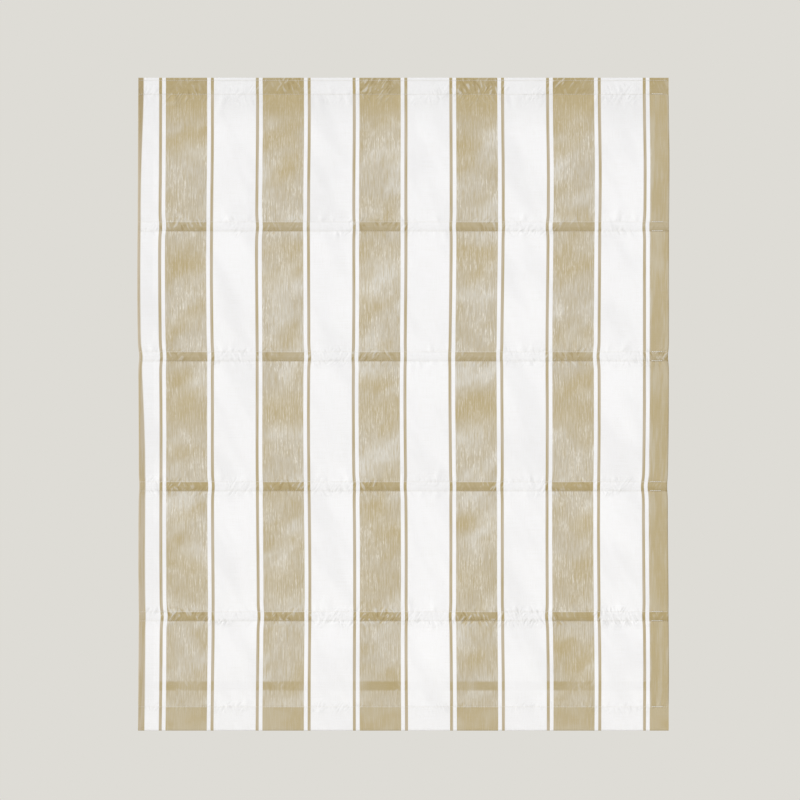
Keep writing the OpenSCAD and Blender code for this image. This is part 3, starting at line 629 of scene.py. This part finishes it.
# Where the cloth is doubled: the rod pockets, header and anchor tape, and the turned hem and sides.
behind_top = 0.2
pocket_pitch = (rod_z[0] - rod_z[-1]) / (len(rod_z) - 1)
first_pocket = cloth_top - rod_z[0]
last_pocket = cloth_top - rod_z[-1]
hem_down = cloth_top - hem_z
tape_down = (cloth_top - anchor_hi.z, cloth_top - anchor_lo.z)
right_turn = 2 * half_wide - side_turn
below_rod = past_nearest(tree, v, first_pocket, pocket_pitch)
by_pockets = band(tree, v, first_pocket - pocket_pitch / 2, last_pocket + pocket_pitch / 2, 0.001)
off_left_edge = soft_step(tree, u, 0.012, 0.026)
pockets = band(tree, below_rod, -pocket_high / 2, pocket_high / 2, 0.0006)
pockets = times(tree, pockets, by_pockets, off_left_edge)
header = times(tree, band(tree, v, -behind_top, header_high, 0.0005), off_left_edge)
hem = soft_step(tree, v, hem_down - 0.0006, hem_down + 0.0006)
right_hem = soft_step(tree, u, right_turn - 0.009, right_turn - 0.003)
left_hem = soft_fall(tree, u, side_turn - 0.002, side_turn + 0.002)
tape_shows = patches(tree, u, v, size=(0.060, 0.300), edges=(0.36, 0.60))
tape_band = times(tree, band(tree, v, *tape_down, 0.0028), ramp(tree, tape_shows, 0.40, 0.58))
tape_band = times(tree, dimmed(tree, tape_band, right_hem, 0.9), off_left_edge)
thick_layers = largest(tree, header, pockets, tape_band)
turned = largest(tree, hem, right_hem, left_hem)

# Where the cloth gathers: close to its seams, in creases that lean one way or the other. The creases are a
# bump, with painted highlights on their ridges and painted shade in their hollows.
from_rod = reckon(tree, "ABSOLUTE", below_rod)
by_pocket_seams = times(tree, close_to(tree, from_rod, pocket_high / 2, 0.001, 0.016), by_pockets)
by_header_seam = close_to(tree, v, header_high, 0.002, 0.034)
by_hem_seam = times(tree, close_to(tree, v, hem_down, 0.001, 0.018), 0.6)
by_seam = largest(tree, by_pocket_seams, by_header_seam, by_hem_seam)
swirl = patches(tree, u, v, size=(0.030, 0.030), edges=(0.42, 0.58))
gather_up = speckle(tree, rising, v, size=(0.0055, 0.014), detail=1.5)
gather_down = speckle(tree, ramp(tree, v, -0.35, u), v, size=(0.0062, 0.018), detail=1.5)
gathers = ramp(tree, swirl, reckon(tree, "SUBTRACT", gather_up, gather_down), gather_down)
crumpled = patches(tree, u, v, size=(0.085, 0.050), edges=(0.42, 0.60))
low_down = soft_step(tree, v, last_pocket - 0.08, last_pocket - 0.03)
crumple_force = times(tree, ramp(tree, crumpled, 0.7, 0.3), ramp(tree, low_down, 0.45, 1.0))
gather_highlight = times(tree, soft_step(tree, gathers, 0.53, 0.72), crumple_force)
gather_shade = times(tree, soft_fall(tree, gathers, 0.29, 0.47), crumple_force)

# Where the tan turns golden, as painted shade where the satin has no sheen: under the header, high in each
# panel and along the bands of painted fold shade.
sheen_clouds = speckle(tree, rising, v, size=(0.070, 0.085))
gold_shade = speckle(tree, rising, v, size=(0.080, 0.074), detail=1.5)
down_panel = reckon(tree, "DIVIDE", reckon(tree, "SUBTRACT", v, first_pocket), pocket_pitch)
down_panel = reckon(tree, "FRACT", down_panel)
upper_panel = soft_step(tree, down_panel, 0.05, 0.24)
upper_panel = reckon(tree, "SUBTRACT", upper_panel, soft_step(tree, down_panel, 0.34, 0.74))
gold_shade = soft_step(tree, ramp(tree, upper_panel, 0.16, gold_shade), 0.42, 0.98)
under_header = soft_fall(tree, v, header_high + 0.006, header_high + 0.082)
gold_shade = largest(tree, gold_shade, times(tree, under_header, 0.95))
for fold_down, fold_wide, fold_strength in fold_shade_bands:
    fold = close_to(tree, v, fold_down, 0.0, fold_wide)
    fold = times(tree, fold, ramp(tree, sheen_clouds, fold_strength, fold_strength / 2))
    gold_shade = largest(tree, gold_shade, fold)

# Yarns of the single cloth: dark and pale ones, and slubs with painted glints outside the painted gold
# shade.
streaks = speckle(tree, u, v, size=(0.0016, 0.034), rough=0.6)
dark_yarn = times(tree, soft_fall(tree, streaks, 0.34, 0.52), 0.47)
pale_yarn = times(tree, soft_step(tree, streaks, 0.52, 0.70), 0.30)
fine_yarn = patches(tree, u, v, size=(0.00045, 0.012), edges=(0.42, 0.60))
slubs = patches(tree, u, v, size=(0.0016, 0.046), edges=(0.44, 0.60))
breaks = patches(tree, u, v, size=(0.0022, 0.009), edges=(0.38, 0.58))
near_hem = soft_step(tree, v, last_pocket + 0.02, last_pocket + 0.09)
glint_zone = patches(tree, falling, v, size=(0.050, 0.075), edges=(0.40, 0.62), detail=1.5)
glint_zone = dimmed(tree, dimmed(tree, glint_zone, gold_shade, 0.8), near_hem, 0.75)
glints = times(tree, slubs, ramp(tree, breaks, 0.75, 0.25), ramp(tree, fine_yarn, 0.7, 0.3))
glints = times(tree, glints, ramp(tree, glint_zone, 0.74, 0.24))

# Tan of the single cloth: painted sheen and painted shade in broad patches, then its yarns and painted
# glints, then painted highlights and shade on its gathers, painted shade under the header, and a little
# darker below the anchor tape.
near_seam = times(tree, by_seam, 0.55)
below_tape = soft_step(tree, v, *tape_down)
single_tan = tint(tree, soft_step(tree, sheen_clouds, 0.43, 0.78), grey_tan, pale_tan)
single_tan = tint(tree, gold_shade, single_tan, golden_tan, most=0.92)
single_tan = tint(tree, dark_yarn, single_tan, golden_tan)
single_tan = tint(tree, pale_yarn, single_tan, pale_yarn_and_glint_tan)
single_tan = tint(tree, glints, single_tan, pale_yarn_and_glint_tan)
single_tan = tint(tree, ramp(tree, fine_yarn, -0.25, 0.25), single_tan, golden_tan)
single_tan = tint(tree, times(tree, gather_shade, near_seam), single_tan, golden_tan)
single_tan = tint(tree, times(tree, gather_highlight, near_seam), single_tan, pale_tan)
single_tan = tint(tree, under_header, single_tan, golden_tan, most=0.5)
single_tan = tint(tree, below_tape, single_tan, golden_tan, most=0.12)

# Tan of the turned hem and sides: darker, as painted shade of the doubled cloth, and smoother, with a
# painted sheen in long patches, more gold on the right strip and a little darker towards the bottom.
sheen_patch = patches(tree, u, v, size=(0.014, 0.130), edges=(0.42, 0.66), detail=2.0, rough=0.55)
hem_sheen_patch = patches(tree, u, v, size=(0.055, 0.040), edges=(0.36, 0.66))
right_gold = times(tree, right_hem, ramp(tree, hem, 0.35, 0.25))
turned_tan = tint(tree, dimmed(tree, sheen_patch, hem, 0.85), hem_tan, sheen_tan, most=0.62)
turned_tan = tint(tree, soft_step(tree, v, 0.25, 1.1), turned_tan, golden_tan, most=0.24)
turned_tan = tint(tree, soft_step(tree, gold_shade, 0.1, 0.7), turned_tan, golden_tan, most=0.35)
turned_tan = tint(tree, pale_yarn, turned_tan, pale_tan, most=0.6)
turned_tan = tint(tree, dark_yarn, turned_tan, golden_tan, most=0.45)
turned_tan = tint(tree, right_gold, turned_tan, golden_tan)
turned_tan = tint(tree, times(tree, hem_sheen_patch, hem), turned_tan, sheen_tan, most=0.22)

# Tan of the pockets, header and tape band: darker, as painted shade of the doubled cloth, a little lighter
# in the two upper pockets, with painted sheen and the gathers' painted highlights and shade.
upper_rows = band(tree, v, first_pocket - 0.03, first_pocket + pocket_pitch + 0.03, 0.01)
thick_tan = tint(tree, soft_step(tree, sheen_clouds, 0.30, 0.75), pocket_tan, grey_tan, most=0.22)
thick_tan = tint(tree, upper_rows, thick_tan, grey_tan, most=0.25)
thick_tan = tint(tree, dimmed(tree, gather_highlight, tape_band, 0.9), thick_tan, pale_tan, most=0.55)
thick_tan = tint(tree, dimmed(tree, gather_shade, tape_band, 0.9), thick_tan, seam_tan, most=0.75)

# Tan of the pin stripes and the left strip, and then all the tans together.
pin_gold = patches(tree, u, v, size=(0.004, 0.100), edges=(0.42, 0.64), detail=2.0)
pin_colour = tint(tree, streaks, pin_tan, grey_tan, most=0.5)
pin_colour = tint(tree, pin_gold, pin_colour, pocket_tan, most=0.6)
tan_colour = tint(tree, turned, single_tan, turned_tan)
tan_colour = tint(tree, lines, tan_colour, pin_colour)
tan_colour = tint(tree, times(tree, edge_strip, near_top), tan_colour, seam_tan, most=0.75)
tan_colour = tint(tree, thick_layers, tan_colour, thick_tan)

# White of the cloth, with painted shade in faint creases, on the doubled cloth, under the header and in the
# gathers' hollows.
creases = patches(tree, falling, v, size=(0.060, 0.160), edges=(0.40, 0.75), detail=2.0)
white_colour = tint(tree, creases, white, shaded_white)
white_colour = tint(tree, under_header, white_colour, deep_shade_white, most=0.4)
white_colour = tint(tree, largest(tree, thick_layers, turned), white_colour, shaded_white, most=0.6)
white_colour = tint(tree, times(tree, gather_shade, by_seam), white_colour, deep_shade_white, most=0.55)

# The woven cloth: tan on white, a line of painted shade on each pocket's lower seam, and the yarns
# themselves, with painted shade in the gaps between them.
past_seam = reckon(tree, "SUBTRACT", below_rod, pocket_high / 2)
seam_line = band(tree, past_seam, -0.0022, 0.0002, 0.0005)
seam_shade = ramp(tree, band(tree, past_seam, -0.0075, 0.0002, 0.0004), 0.45, seam_line)
seam_shade = times(tree, seam_shade, by_pockets, tans, off_left_edge)
yarn = place_effect(tree, weave, Across=u, Along=v, Pitch=0.0006)
woven = tint(tree, tans, white_colour, tan_colour)
woven = tint(tree, seam_shade, woven, seam_tan, most=0.5)
woven = tint(tree, soft_fall(tree, yarn["Height"], 0.22, 0.52), woven, yarn_shade, most=0.22)
tree.links.new(woven, shader.inputs["Base Color"])
gloss(tree, shader, yarn["Shade"], 0.42, 0.67)
gather_height = times(tree, gathers, by_seam, crumple_force, 1.3)
relief(tree, shader, ramp(tree, yarn["Height"], 0.10, gather_height), 1.0, 0.001)
cloth_mesh.materials.append(cloth_finish)

# How the cloth goes up: a table of the levels where it gathers and the share of the bar's rise that each
# takes, the rods' shares at the pockets.
rod_share = {follower["joint"]: follower["ratio"] for follower in frame["record"]["behaviour"]["couplings"]}
gather_z = [cloth_top, header_z]
gather_share = [0, 0]
for k, z in zip(rods, rod_z):
    gather_z += [z + pocket_high / 2, z - pocket_high / 2]
    gather_share += [rod_share[f"rod_{k}_rise"]] * 2
gather_z += [anchor_hi.z, cloth_bottom]
gather_share += [1, 1]


def follow_gathers(piece):
    """Bakes a mesh's placing into its points."""
    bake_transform(piece)


follow_gathers(cloth)
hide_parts("face_cloth")

# Stitching: lockstitched white thread along the header, both edges of each rod pocket and the hem. Each
# stitch is a short bent length of thread that dips into the cloth at both ends.
stitch_pitch = 0.0034
stitch_long = 0.0027
stitch_stations = np.array([-0.5, -0.3, 0.3, 0.5])
stitch_dips = np.array([0.0003, 0, 0, 0.0003])
thread_sides = 5
thread_round = 0.00024
tack_round = 0.0006
proud_seat = 0.0001
drawn_seat = 0.00022
top_row = 0.0055
hem_row = 0.001
seam_end = 0.003
tack_from, tack_to = 0.030, 0.013
seam_span = (-half_wide + seam_end, half_wide - seam_end)
tack_span = (half_wide - tack_from, half_wide - tack_to)
tape_back = anchor_hi.y


def tube_sides(at):
    """The faces round a tube, or a row of tubes, whose points are numbered by station and by side."""
    beside = np.roll(at, -1, axis=-1)
    corners = [at[..., :-1, :], at[..., 1:, :], beside[..., 1:, :], beside[..., :-1, :]]
    return np.stack(corners, axis=-1).reshape(-1, 4)


def sew(name, seams):
    """One mesh of stitches. Each seam gives its level and ends, a function for its depth, its way out of
    the cloth, how deep the thread is seated and half the thread's thickness."""
    spokes = 2 * math.pi * np.arange(thread_sides) / thread_sides
    verts, sides = [], []
    sewn = 0
    for level, ends, depth_at, way_out, seat, half_thick in seams:
        stations = np.arange(*ends, stitch_pitch)[:, None] + stitch_stations * stitch_long
        levels = np.full_like(stations, level)
        depths = depth_at(stations, levels) + way_out * (half_thick - seat - stitch_dips)
        ring_y = depths[..., None] + half_thick * np.cos(spokes)
        ring_z = levels[..., None] + half_thick * np.sin(spokes)
        ring_x = np.broadcast_to((stations + aside(stations, levels))[..., None], ring_y.shape)
        verts.append(np.stack([ring_x, ring_y, ring_z], axis=-1).reshape(-1, 3))
        sides.append(tube_sides(sewn + np.arange(ring_y.size).reshape(ring_y.shape)))
        sewn += ring_y.size
    return put(name, mesh_of(name, np.concatenate(verts).tolist(), np.concatenate(sides).tolist()))


def front_face(x, z):
    """The depth of the cloth's front face."""
    return face_y - cloth_thick / 2 - forward(x, z)


def tape_face(x, z):
    """The depth of the tapes' back face."""
    return np.full_like(x, tape_back)


def lap_face(x, z):
    """The depth of the lap at the top of the hem's back."""
    return np.full_like(x, turned_y)


def own_place(tree):
    """A piece's own coordinates, in metres."""
    return tree.nodes.new("ShaderNodeTexCoord").outputs["Object"]


def paint(tree, shader, share, first, second):
    """A base colour that goes from one colour to another as a share goes from 0 to 1."""
    tree.links.new(tint(tree, share, first, second), shader.inputs["Base Color"])


front_seams = [
    (level, seam_span, front_face, -1, proud_seat if level >= header_z else drawn_seat, thread_round)
    for level in [cloth_top - top_row] + seam_z
]
front_tacks = [(level + tack_round, tack_span, front_face, -1, proud_seat, tack_round) for level in seam_z]
back_seams = [(level, seam_span, tape_face, 1, 0, thread_round) for level in seam_z[1:-1]]
back_hem = (hem_z + hem_row, seam_span, lap_face, 1, 0, thread_round)
front_stitching = sew("front_stitching", front_seams + front_tacks)
back_stitching = sew("back_stitching", back_seams + [back_hem])
thread_finish, tree, shader = finish("spun_thread", rough=0.65)
x, y, z = split(tree, own_place(tree))
twist = speckle(tree, x, z, size=(0.0005, 0.0005))
paint(tree, shader, twist, srgb(250, 249, 245), srgb(226, 222, 210))
relief(tree, shader, twist, 0.3, 0.0001)
for stitching in (front_stitching, back_stitching):
    stitching.data.materials.append(thread_finish)
    follow_gathers(stitching)

# Pocket tapes and anchor tape: plain white woven tape across the back of the cloth. Each pocket tape
# is sewn along both edges and holds a rod, and the anchor tape is bonded on and holds the lift cords.


def dress(material, *names, eased=0.0):
    """Gives CAD nodes a finish, and eases their sharp edges by a small round where one is given."""
    for name in names:
        node = frame["nodes"][name]
        if not node.material_slots:
            node.data.materials.append(material)
        for held in node.material_slots:
            held.material = material
        if eased:
            easing = node.modifiers.new("eased_edges", "BEVEL")
            easing.width = eased
            easing.segments = 2
            easing.limit_method = "ANGLE"
            easing.angle_limit = math.radians(40)
            easing.harden_normals = True


rod_lo, rod_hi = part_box("rod_1")
rod_round = (rod_hi.z - rod_lo.z) / 2
rod_y = (rod_lo.y + rod_hi.y) / 2
tape_finish, tree, shader = finish("white_tape", rough=0.75)
shader.inputs["Sheen Weight"].default_value = 0.1
x, y, z = split(tree, own_place(tree))
from_rod = past_nearest(tree, z, rod_z[0], pocket_pitch)
round_rod = reckon(tree, "ARCTAN2", from_rod, reckon(tree, "SUBTRACT", y, rod_y))
down_tape = ramp(tree, round_rod, rod_round, times(tree, from_rod, 0.5))
yarn = place_effect(tree, weave, Across=x, Along=down_tape, Pitch=0.0010)
# The tape is lighter where its yarns rise and darker between them: painted shade in the weave, over the
# yarns' own uneven tone.
tape_tone = reckon(tree, "MULTIPLY_ADD", yarn["Height"], 1.1, -0.1, clamp=True)
paint(tree, shader, tape_tone, srgb(214, 211, 201), srgb(243, 242, 237))
relief(tree, shader, yarn["Height"], 0.7, 0.0004)
dress(tape_finish, *[f"pocket_tape_{k}" for k in rods], "anchor_tape")

# Rods: pultruded glass fibre, a pale straw colour, with the fibres running along the rod. Each slides
# into the pocket between its tape and the cloth, and keeps the cloth straight across.


def grain(tree, place, size, detail=2.0, rough=0.5):
    """Noise from 0 to 1 whose grains have about a size along x, y and z, in metres."""
    scaled = tree.nodes.new("ShaderNodeVectorMath")
    scaled.operation = "DIVIDE"
    tree.links.new(place, scaled.inputs[0])
    scaled.inputs[1].default_value = size
    node = tree.nodes.new("ShaderNodeTexNoise")
    tree.links.new(scaled.outputs[0], node.inputs["Vector"])
    node.inputs["Scale"].default_value = 1
    node.inputs["Detail"].default_value = detail
    node.inputs["Roughness"].default_value = rough
    return node.outputs["Fac"]


rod_finish, tree, shader = finish("glass_fibre")
shader.inputs["Coat Weight"].default_value = 0.2
fibres = grain(tree, own_place(tree), size=(0.12, 0.0004, 0.0004), detail=3.0, rough=0.6)
paint(tree, shader, fibres, srgb(206, 199, 172), srgb(240, 236, 220))
gloss(tree, shader, fibres, 0.22, 0.47)
relief(tree, shader, fibres, 0.3, 0.0001)
dress(rod_finish, *[f"rod_{k}" for k in rods])

# Rod caps and bar caps: small white moulded caps, pushed on to the rods' ends and into the bar's ends.
# Moulded skin is shared by all the plastic pieces: a fine spark-eroded grain and a faint flow mottle.
skin, skin_in, skin_out = shared_effect(
    "moulded_skin", {"Place": (0.0, 0.0, 0.0)}, ("Mottle", "Height", "Gloss"))
flow = grain(skin, skin_in["Place"], size=(0.014, 0.014, 0.009), detail=3.0, rough=0.55)
pits = grain(skin, skin_in["Place"], size=(0.0005, 0.0005, 0.0005), rough=0.6)
scuffs = grain(skin, skin_in["Place"], size=(0.004, 0.0009, 0.0009), detail=4.0, rough=0.7)
scuffs = soft_step(skin, scuffs, 0.58, 0.75)
skin.links.new(ramp(skin, pits, 0.25, times(skin, flow, 0.75)), skin_out["Mottle"])
skin.links.new(pits, skin_out["Height"])
skin.links.new(ramp(skin, scuffs, 0.22, ramp(skin, pits, 0.14, 0.30)), skin_out["Gloss"])


def moulded(name, shadow, light, depth):
    """A moulded plastic between two tones, with a grain that is depth metres deep."""
    material, tree, shader = finish(name)
    surface = place_effect(tree, skin, Place=own_place(tree))
    paint(tree, shader, surface["Mottle"], shadow, light)
    tree.links.new(surface["Gloss"], shader.inputs["Roughness"])
    relief(tree, shader, surface["Height"], 0.5, depth)
    return material


end_finish = moulded("end_plastic", srgb(214, 214, 209), srgb(233, 233, 229), 0.00012)
dress(end_finish, *[f"rod_caps_{k}" for k in rods], "bar_caps")

# Cord rings and cord anchors: white moulded rings on small pads sewn to the pocket tapes, and the
# moulded ends on the anchor tape that each lift cord is knotted into.
ring_finish = moulded("ring_plastic", srgb(228, 228, 222), srgb(246, 246, 242), 0.00006)
dress(ring_finish, *[f"cord_rings_{k}" for k in rods], "cord_anchors")

# Bottom bar: a mill-finish aluminium flat that weights the hem. Drawn lines are shared by the metals:
# fine marks along one way of the piece, from the die or the rolls.
drawn, drawn_in, drawn_out = shared_effect(
    "drawn_lines", {"Place": (0.0, 0.0, 0.0)}, ("Lines", "Tarnish"))
fine_lines = grain(drawn, drawn_in["Place"], size=(0.16, 0.00035, 0.00035), detail=3.0, rough=0.65)
broad_lines = grain(drawn, drawn_in["Place"], size=(0.30, 0.0022, 0.0022))
tarnish = grain(drawn, drawn_in["Place"], size=(0.05, 0.02, 0.02), detail=4.0, rough=0.6)
drawn.links.new(ramp(drawn, fine_lines, 0.6, times(drawn, broad_lines, 0.4)), drawn_out["Lines"])
drawn.links.new(tarnish, drawn_out["Tarnish"])


def drawn_metal(name, dull, bright, smoothest, roughest, turned_about=None):
    """A metal with drawn lines along x, or along another way where the lines are turned about an axis."""
    material, tree, shader = finish(name, metal=1.0)
    place = own_place(tree)
    if turned_about:
        turning = tree.nodes.new("ShaderNodeMapping")
        turning.inputs["Rotation"].default_value = turned_about
        tree.links.new(place, turning.inputs["Vector"])
        place = turning.outputs[0]
    marks = place_effect(tree, drawn, Place=place)
    tone = ramp(tree, marks["Tarnish"], 0.6, times(tree, marks["Lines"], 0.4))
    paint(tree, shader, tone, dull, bright)
    gloss(tree, shader, marks["Lines"], smoothest, roughest)
    relief(tree, shader, marks["Lines"], 0.25, 0.00008)
    return material


bar_finish = drawn_metal("mill_aluminium", srgb(186, 189, 192), srgb(226, 228, 230), 0.30, 0.52)
dress(bar_finish, "bottom_bar", eased=0.0002)

# Hook tape and loop tape: the two halves of a press-on tape. The hook side is stuck between two ribs
# along the rail's front, and the fuzzy loop side is fixed to the back of the header.
hooks_per_metre = 700
hook_finish, tree, shader = finish("hook_side", rough=0.5)
hooks = tree.nodes.new("ShaderNodeTexVoronoi")
hooks.inputs["Scale"].default_value = hooks_per_metre
tree.links.new(own_place(tree), hooks.inputs["Vector"])
tips = soft_fall(tree, hooks.outputs["Distance"], 0.1, 0.5)
# Lighter on the hooks' tips and darker between them: painted shade.
paint(tree, shader, tips, srgb(196, 196, 190), srgb(238, 238, 234))
relief(tree, shader, tips, 0.8, 0.0006)
dress(hook_finish, "hook_tape")

loop_finish, tree, shader = finish("loop_side", rough=0.85)
shader.inputs["Sheen Weight"].default_value = 0.4
fuzz = grain(tree, own_place(tree), size=(0.0012, 0.0007, 0.0007), detail=4.0, rough=0.75)
paint(tree, shader, fuzz, srgb(216, 215, 208), srgb(246, 245, 241))
relief(tree, shader, fuzz, 0.9, 0.0006)
dress(loop_finish, "loop_tape")

# Head rail: an extruded aluminium channel, white powder-coated and open at the top. It carries all the
# works, and hangs from the brackets by the two lips along its top.
rail_finish, tree, shader = finish("white_powder_coat")
place = own_place(tree)
peel = grain(tree, place, size=(0.0013, 0.0011, 0.0011))
bloom = grain(tree, place, size=(0.09, 0.03, 0.02), detail=3.0, rough=0.55)
paint(tree, shader, bloom, srgb(226, 226, 222), srgb(242, 242, 240))
gloss(tree, shader, bloom, 0.32, 0.50)
relief(tree, shader, peel, 0.35, 0.0002)
dress(rail_finish, "head_rail", eased=0.0003)

# End caps: white moulded plates over the rail's ends. Each has a plug that lines the rail and a bearing
# for the shaft's bush.
cap_finish = moulded("cap_plastic", srgb(220, 220, 215), srgb(238, 238, 234), 0.00018)
dress(cap_finish, "end_cap_left", "end_cap_right", eased=0.0003)

# Brackets: bent from zinc-plated steel and screwed up through two holes each. The plating has a faint
# blue and straw cast and fine handling marks.
bracket_finish, tree, shader = finish("zinc_plate", metal=1.0)
place = own_place(tree)
cast = grain(tree, place, size=(0.011, 0.008, 0.008), detail=4.0, rough=0.6)
rub = grain(tree, place, size=(0.0010, 0.012, 0.004), detail=3.0, rough=0.65)
paint(tree, shader, soft_step(tree, cast, 0.32, 0.68), srgb(178, 183, 190), srgb(203, 203, 198))
gloss(tree, shader, rub, 0.28, 0.58)
relief(tree, shader, rub, 0.15, 0.0001)
dress(bracket_finish, "bracket_left", "bracket_right", eased=0.0002)

# Latches and their pins: a moulded lever under each bracket, with a cam that holds the rail's rear lip.
# Each swings on a turned steel pin with a flat head.
latch_finish = moulded("latch_plastic", srgb(203, 204, 203), srgb(224, 225, 223), 0.00014)
dress(latch_finish, "latch_left", "latch_right", eased=0.0003)
across_pin = (0, 0, math.pi / 2)
pin_finish = drawn_metal(
    "turned_steel", srgb(160, 162, 166), srgb(206, 208, 211), 0.22, 0.40, turned_about=across_pin)
dress(pin_finish, "latch_pin_left", "latch_pin_right")

# Lift shaft: a bright drawn square bar, almost as long as the rail. It turns the spools and the spring
# motor's output drum, and a bush at each end carries it.
shaft_finish = drawn_metal("bright_bar", srgb(158, 161, 166), srgb(206, 208, 212), 0.20, 0.42)
dress(shaft_finish, "lift_shaft")

# Bushes, spools, cradles and the spring motor's drums and plates: natural white acetal, moulded smooth
# so that it runs without oil. The spools turn in open-topped bearings on the cradles.
works_finish = moulded("natural_acetal", srgb(222, 220, 208), srgb(241, 240, 232), 0.00006)
dress(
    works_finish, "shaft_bush_left", "shaft_bush_right", "spool_left", "spool_centre", "spool_right",
    "cradle_left", "cradle_centre", "cradle_right", "output_drum", "storage_drum",
    "motor_plate_left", "motor_plate_right",
)

# Spring tape: blued spring steel, rolled to a thin band. It winds from one drum of the spring motor to
# the other, and its pull carries the weight of the cloth, rods and bar.
along_tape = (0, math.pi / 2, 0)
spring_finish = drawn_metal(
    "blued_spring", srgb(84, 92, 112), srgb(148, 146, 140), 0.18, 0.34, turned_about=along_tape)
dress(spring_finish, "spring_tape")

# Lift cords: braided white polyester, one from each spool straight down through the rings to its anchor. In
# the blind the run shortens as it goes up; here the run is made at one length, and the safety turns stay
# round the spool.
cord_round = 0.0006
cord_sides = 10
lay_widths = 1.3
cord_lay = lay_widths * 2 * cord_round
run_stations = 60
spool_turns = 1.5
turn_stations = 32
braid_pitch = 0.0036
braid_strands = 4.0
shaft_lo, shaft_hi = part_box("lift_shaft")
shaft_y, shaft_z = (shaft_lo.y + shaft_hi.y) / 2, (shaft_lo.z + shaft_hi.z) / 2

cord_finish, tree, shader = finish("braided_cord", rough=0.6)
shader.inputs["Sheen Weight"].default_value = 0.15
round_cord, along_cord = laid_out(tree, "braid")
strands = times(tree, round_cord, braid_strands)
climb = times(tree, along_cord, 2 * math.pi / braid_pitch)
one_way = reckon(tree, "SINE", reckon(tree, "ADD", strands, climb))
other_way = reckon(tree, "SINE", reckon(tree, "SUBTRACT", strands, climb))
braid = ramp(tree, times(tree, one_way, other_way), 0.5, 0.5)
# Lighter on the strands and darker between them: painted shade in the braid.
paint(tree, shader, braid, srgb(212, 211, 204), srgb(246, 246, 243))
relief(tree, shader, braid, 0.8, 0.0003)


def cord_tube(name, middles, outward):
    """A cord along middles. Each station's ring lies in the plane of x and its outward way."""
    a = 2 * math.pi * np.arange(cord_sides) / cord_sides
    sideways = np.array([1.0, 0, 0])
    ring = np.cos(a)[None, :, None] * sideways + np.sin(a)[None, :, None] * outward[:, None, :]
    verts = (middles[:, None, :] + cord_round * ring).reshape(-1, 3)
    at = np.arange(len(verts)).reshape(len(middles), cord_sides)
    ends = [at[0].tolist(), at[-1][::-1].tolist()]
    mesh = mesh_of(name, verts.tolist(), tube_sides(at).tolist() + ends)
    run = np.concatenate([[0], np.cumsum(np.linalg.norm(np.diff(middles, axis=0), axis=1))])
    lay_out(mesh, "braid", np.column_stack([np.tile(a, len(middles)), np.repeat(run, cord_sides)]))
    mesh.materials.append(cord_finish)
    return put(name, mesh)


for side in ("left", "centre", "right"):
    node = f"lift_cord_{side}"
    lo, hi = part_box(node)
    cord_x = hi.x - cord_round
    cord_y = lo.y + cord_round
    middles = np.linspace((cord_x, cord_y, lo.z), (cord_x, cord_y, shaft_z), run_stations)
    run = cord_tube(f"cord_run_{side}", middles, np.tile((0, 1.0, 0), (run_stations, 1)))
    turn = np.arange(int(spool_turns * turn_stations) + 1) / turn_stations
    a = math.pi - 2 * math.pi * turn
    outward = np.stack([0 * a, np.cos(a), np.sin(a)], axis=1)
    middles = np.array([0, shaft_y, shaft_z]) + (shaft_y - cord_y) * outward
    middles[:, 0] = cord_x - cord_lay * turn
    turns = cord_tube(f"cord_turns_{side}", middles, -outward)
    for piece in (run, turns):
        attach(piece, "head_rail")
        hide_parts(node)
    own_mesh(run)
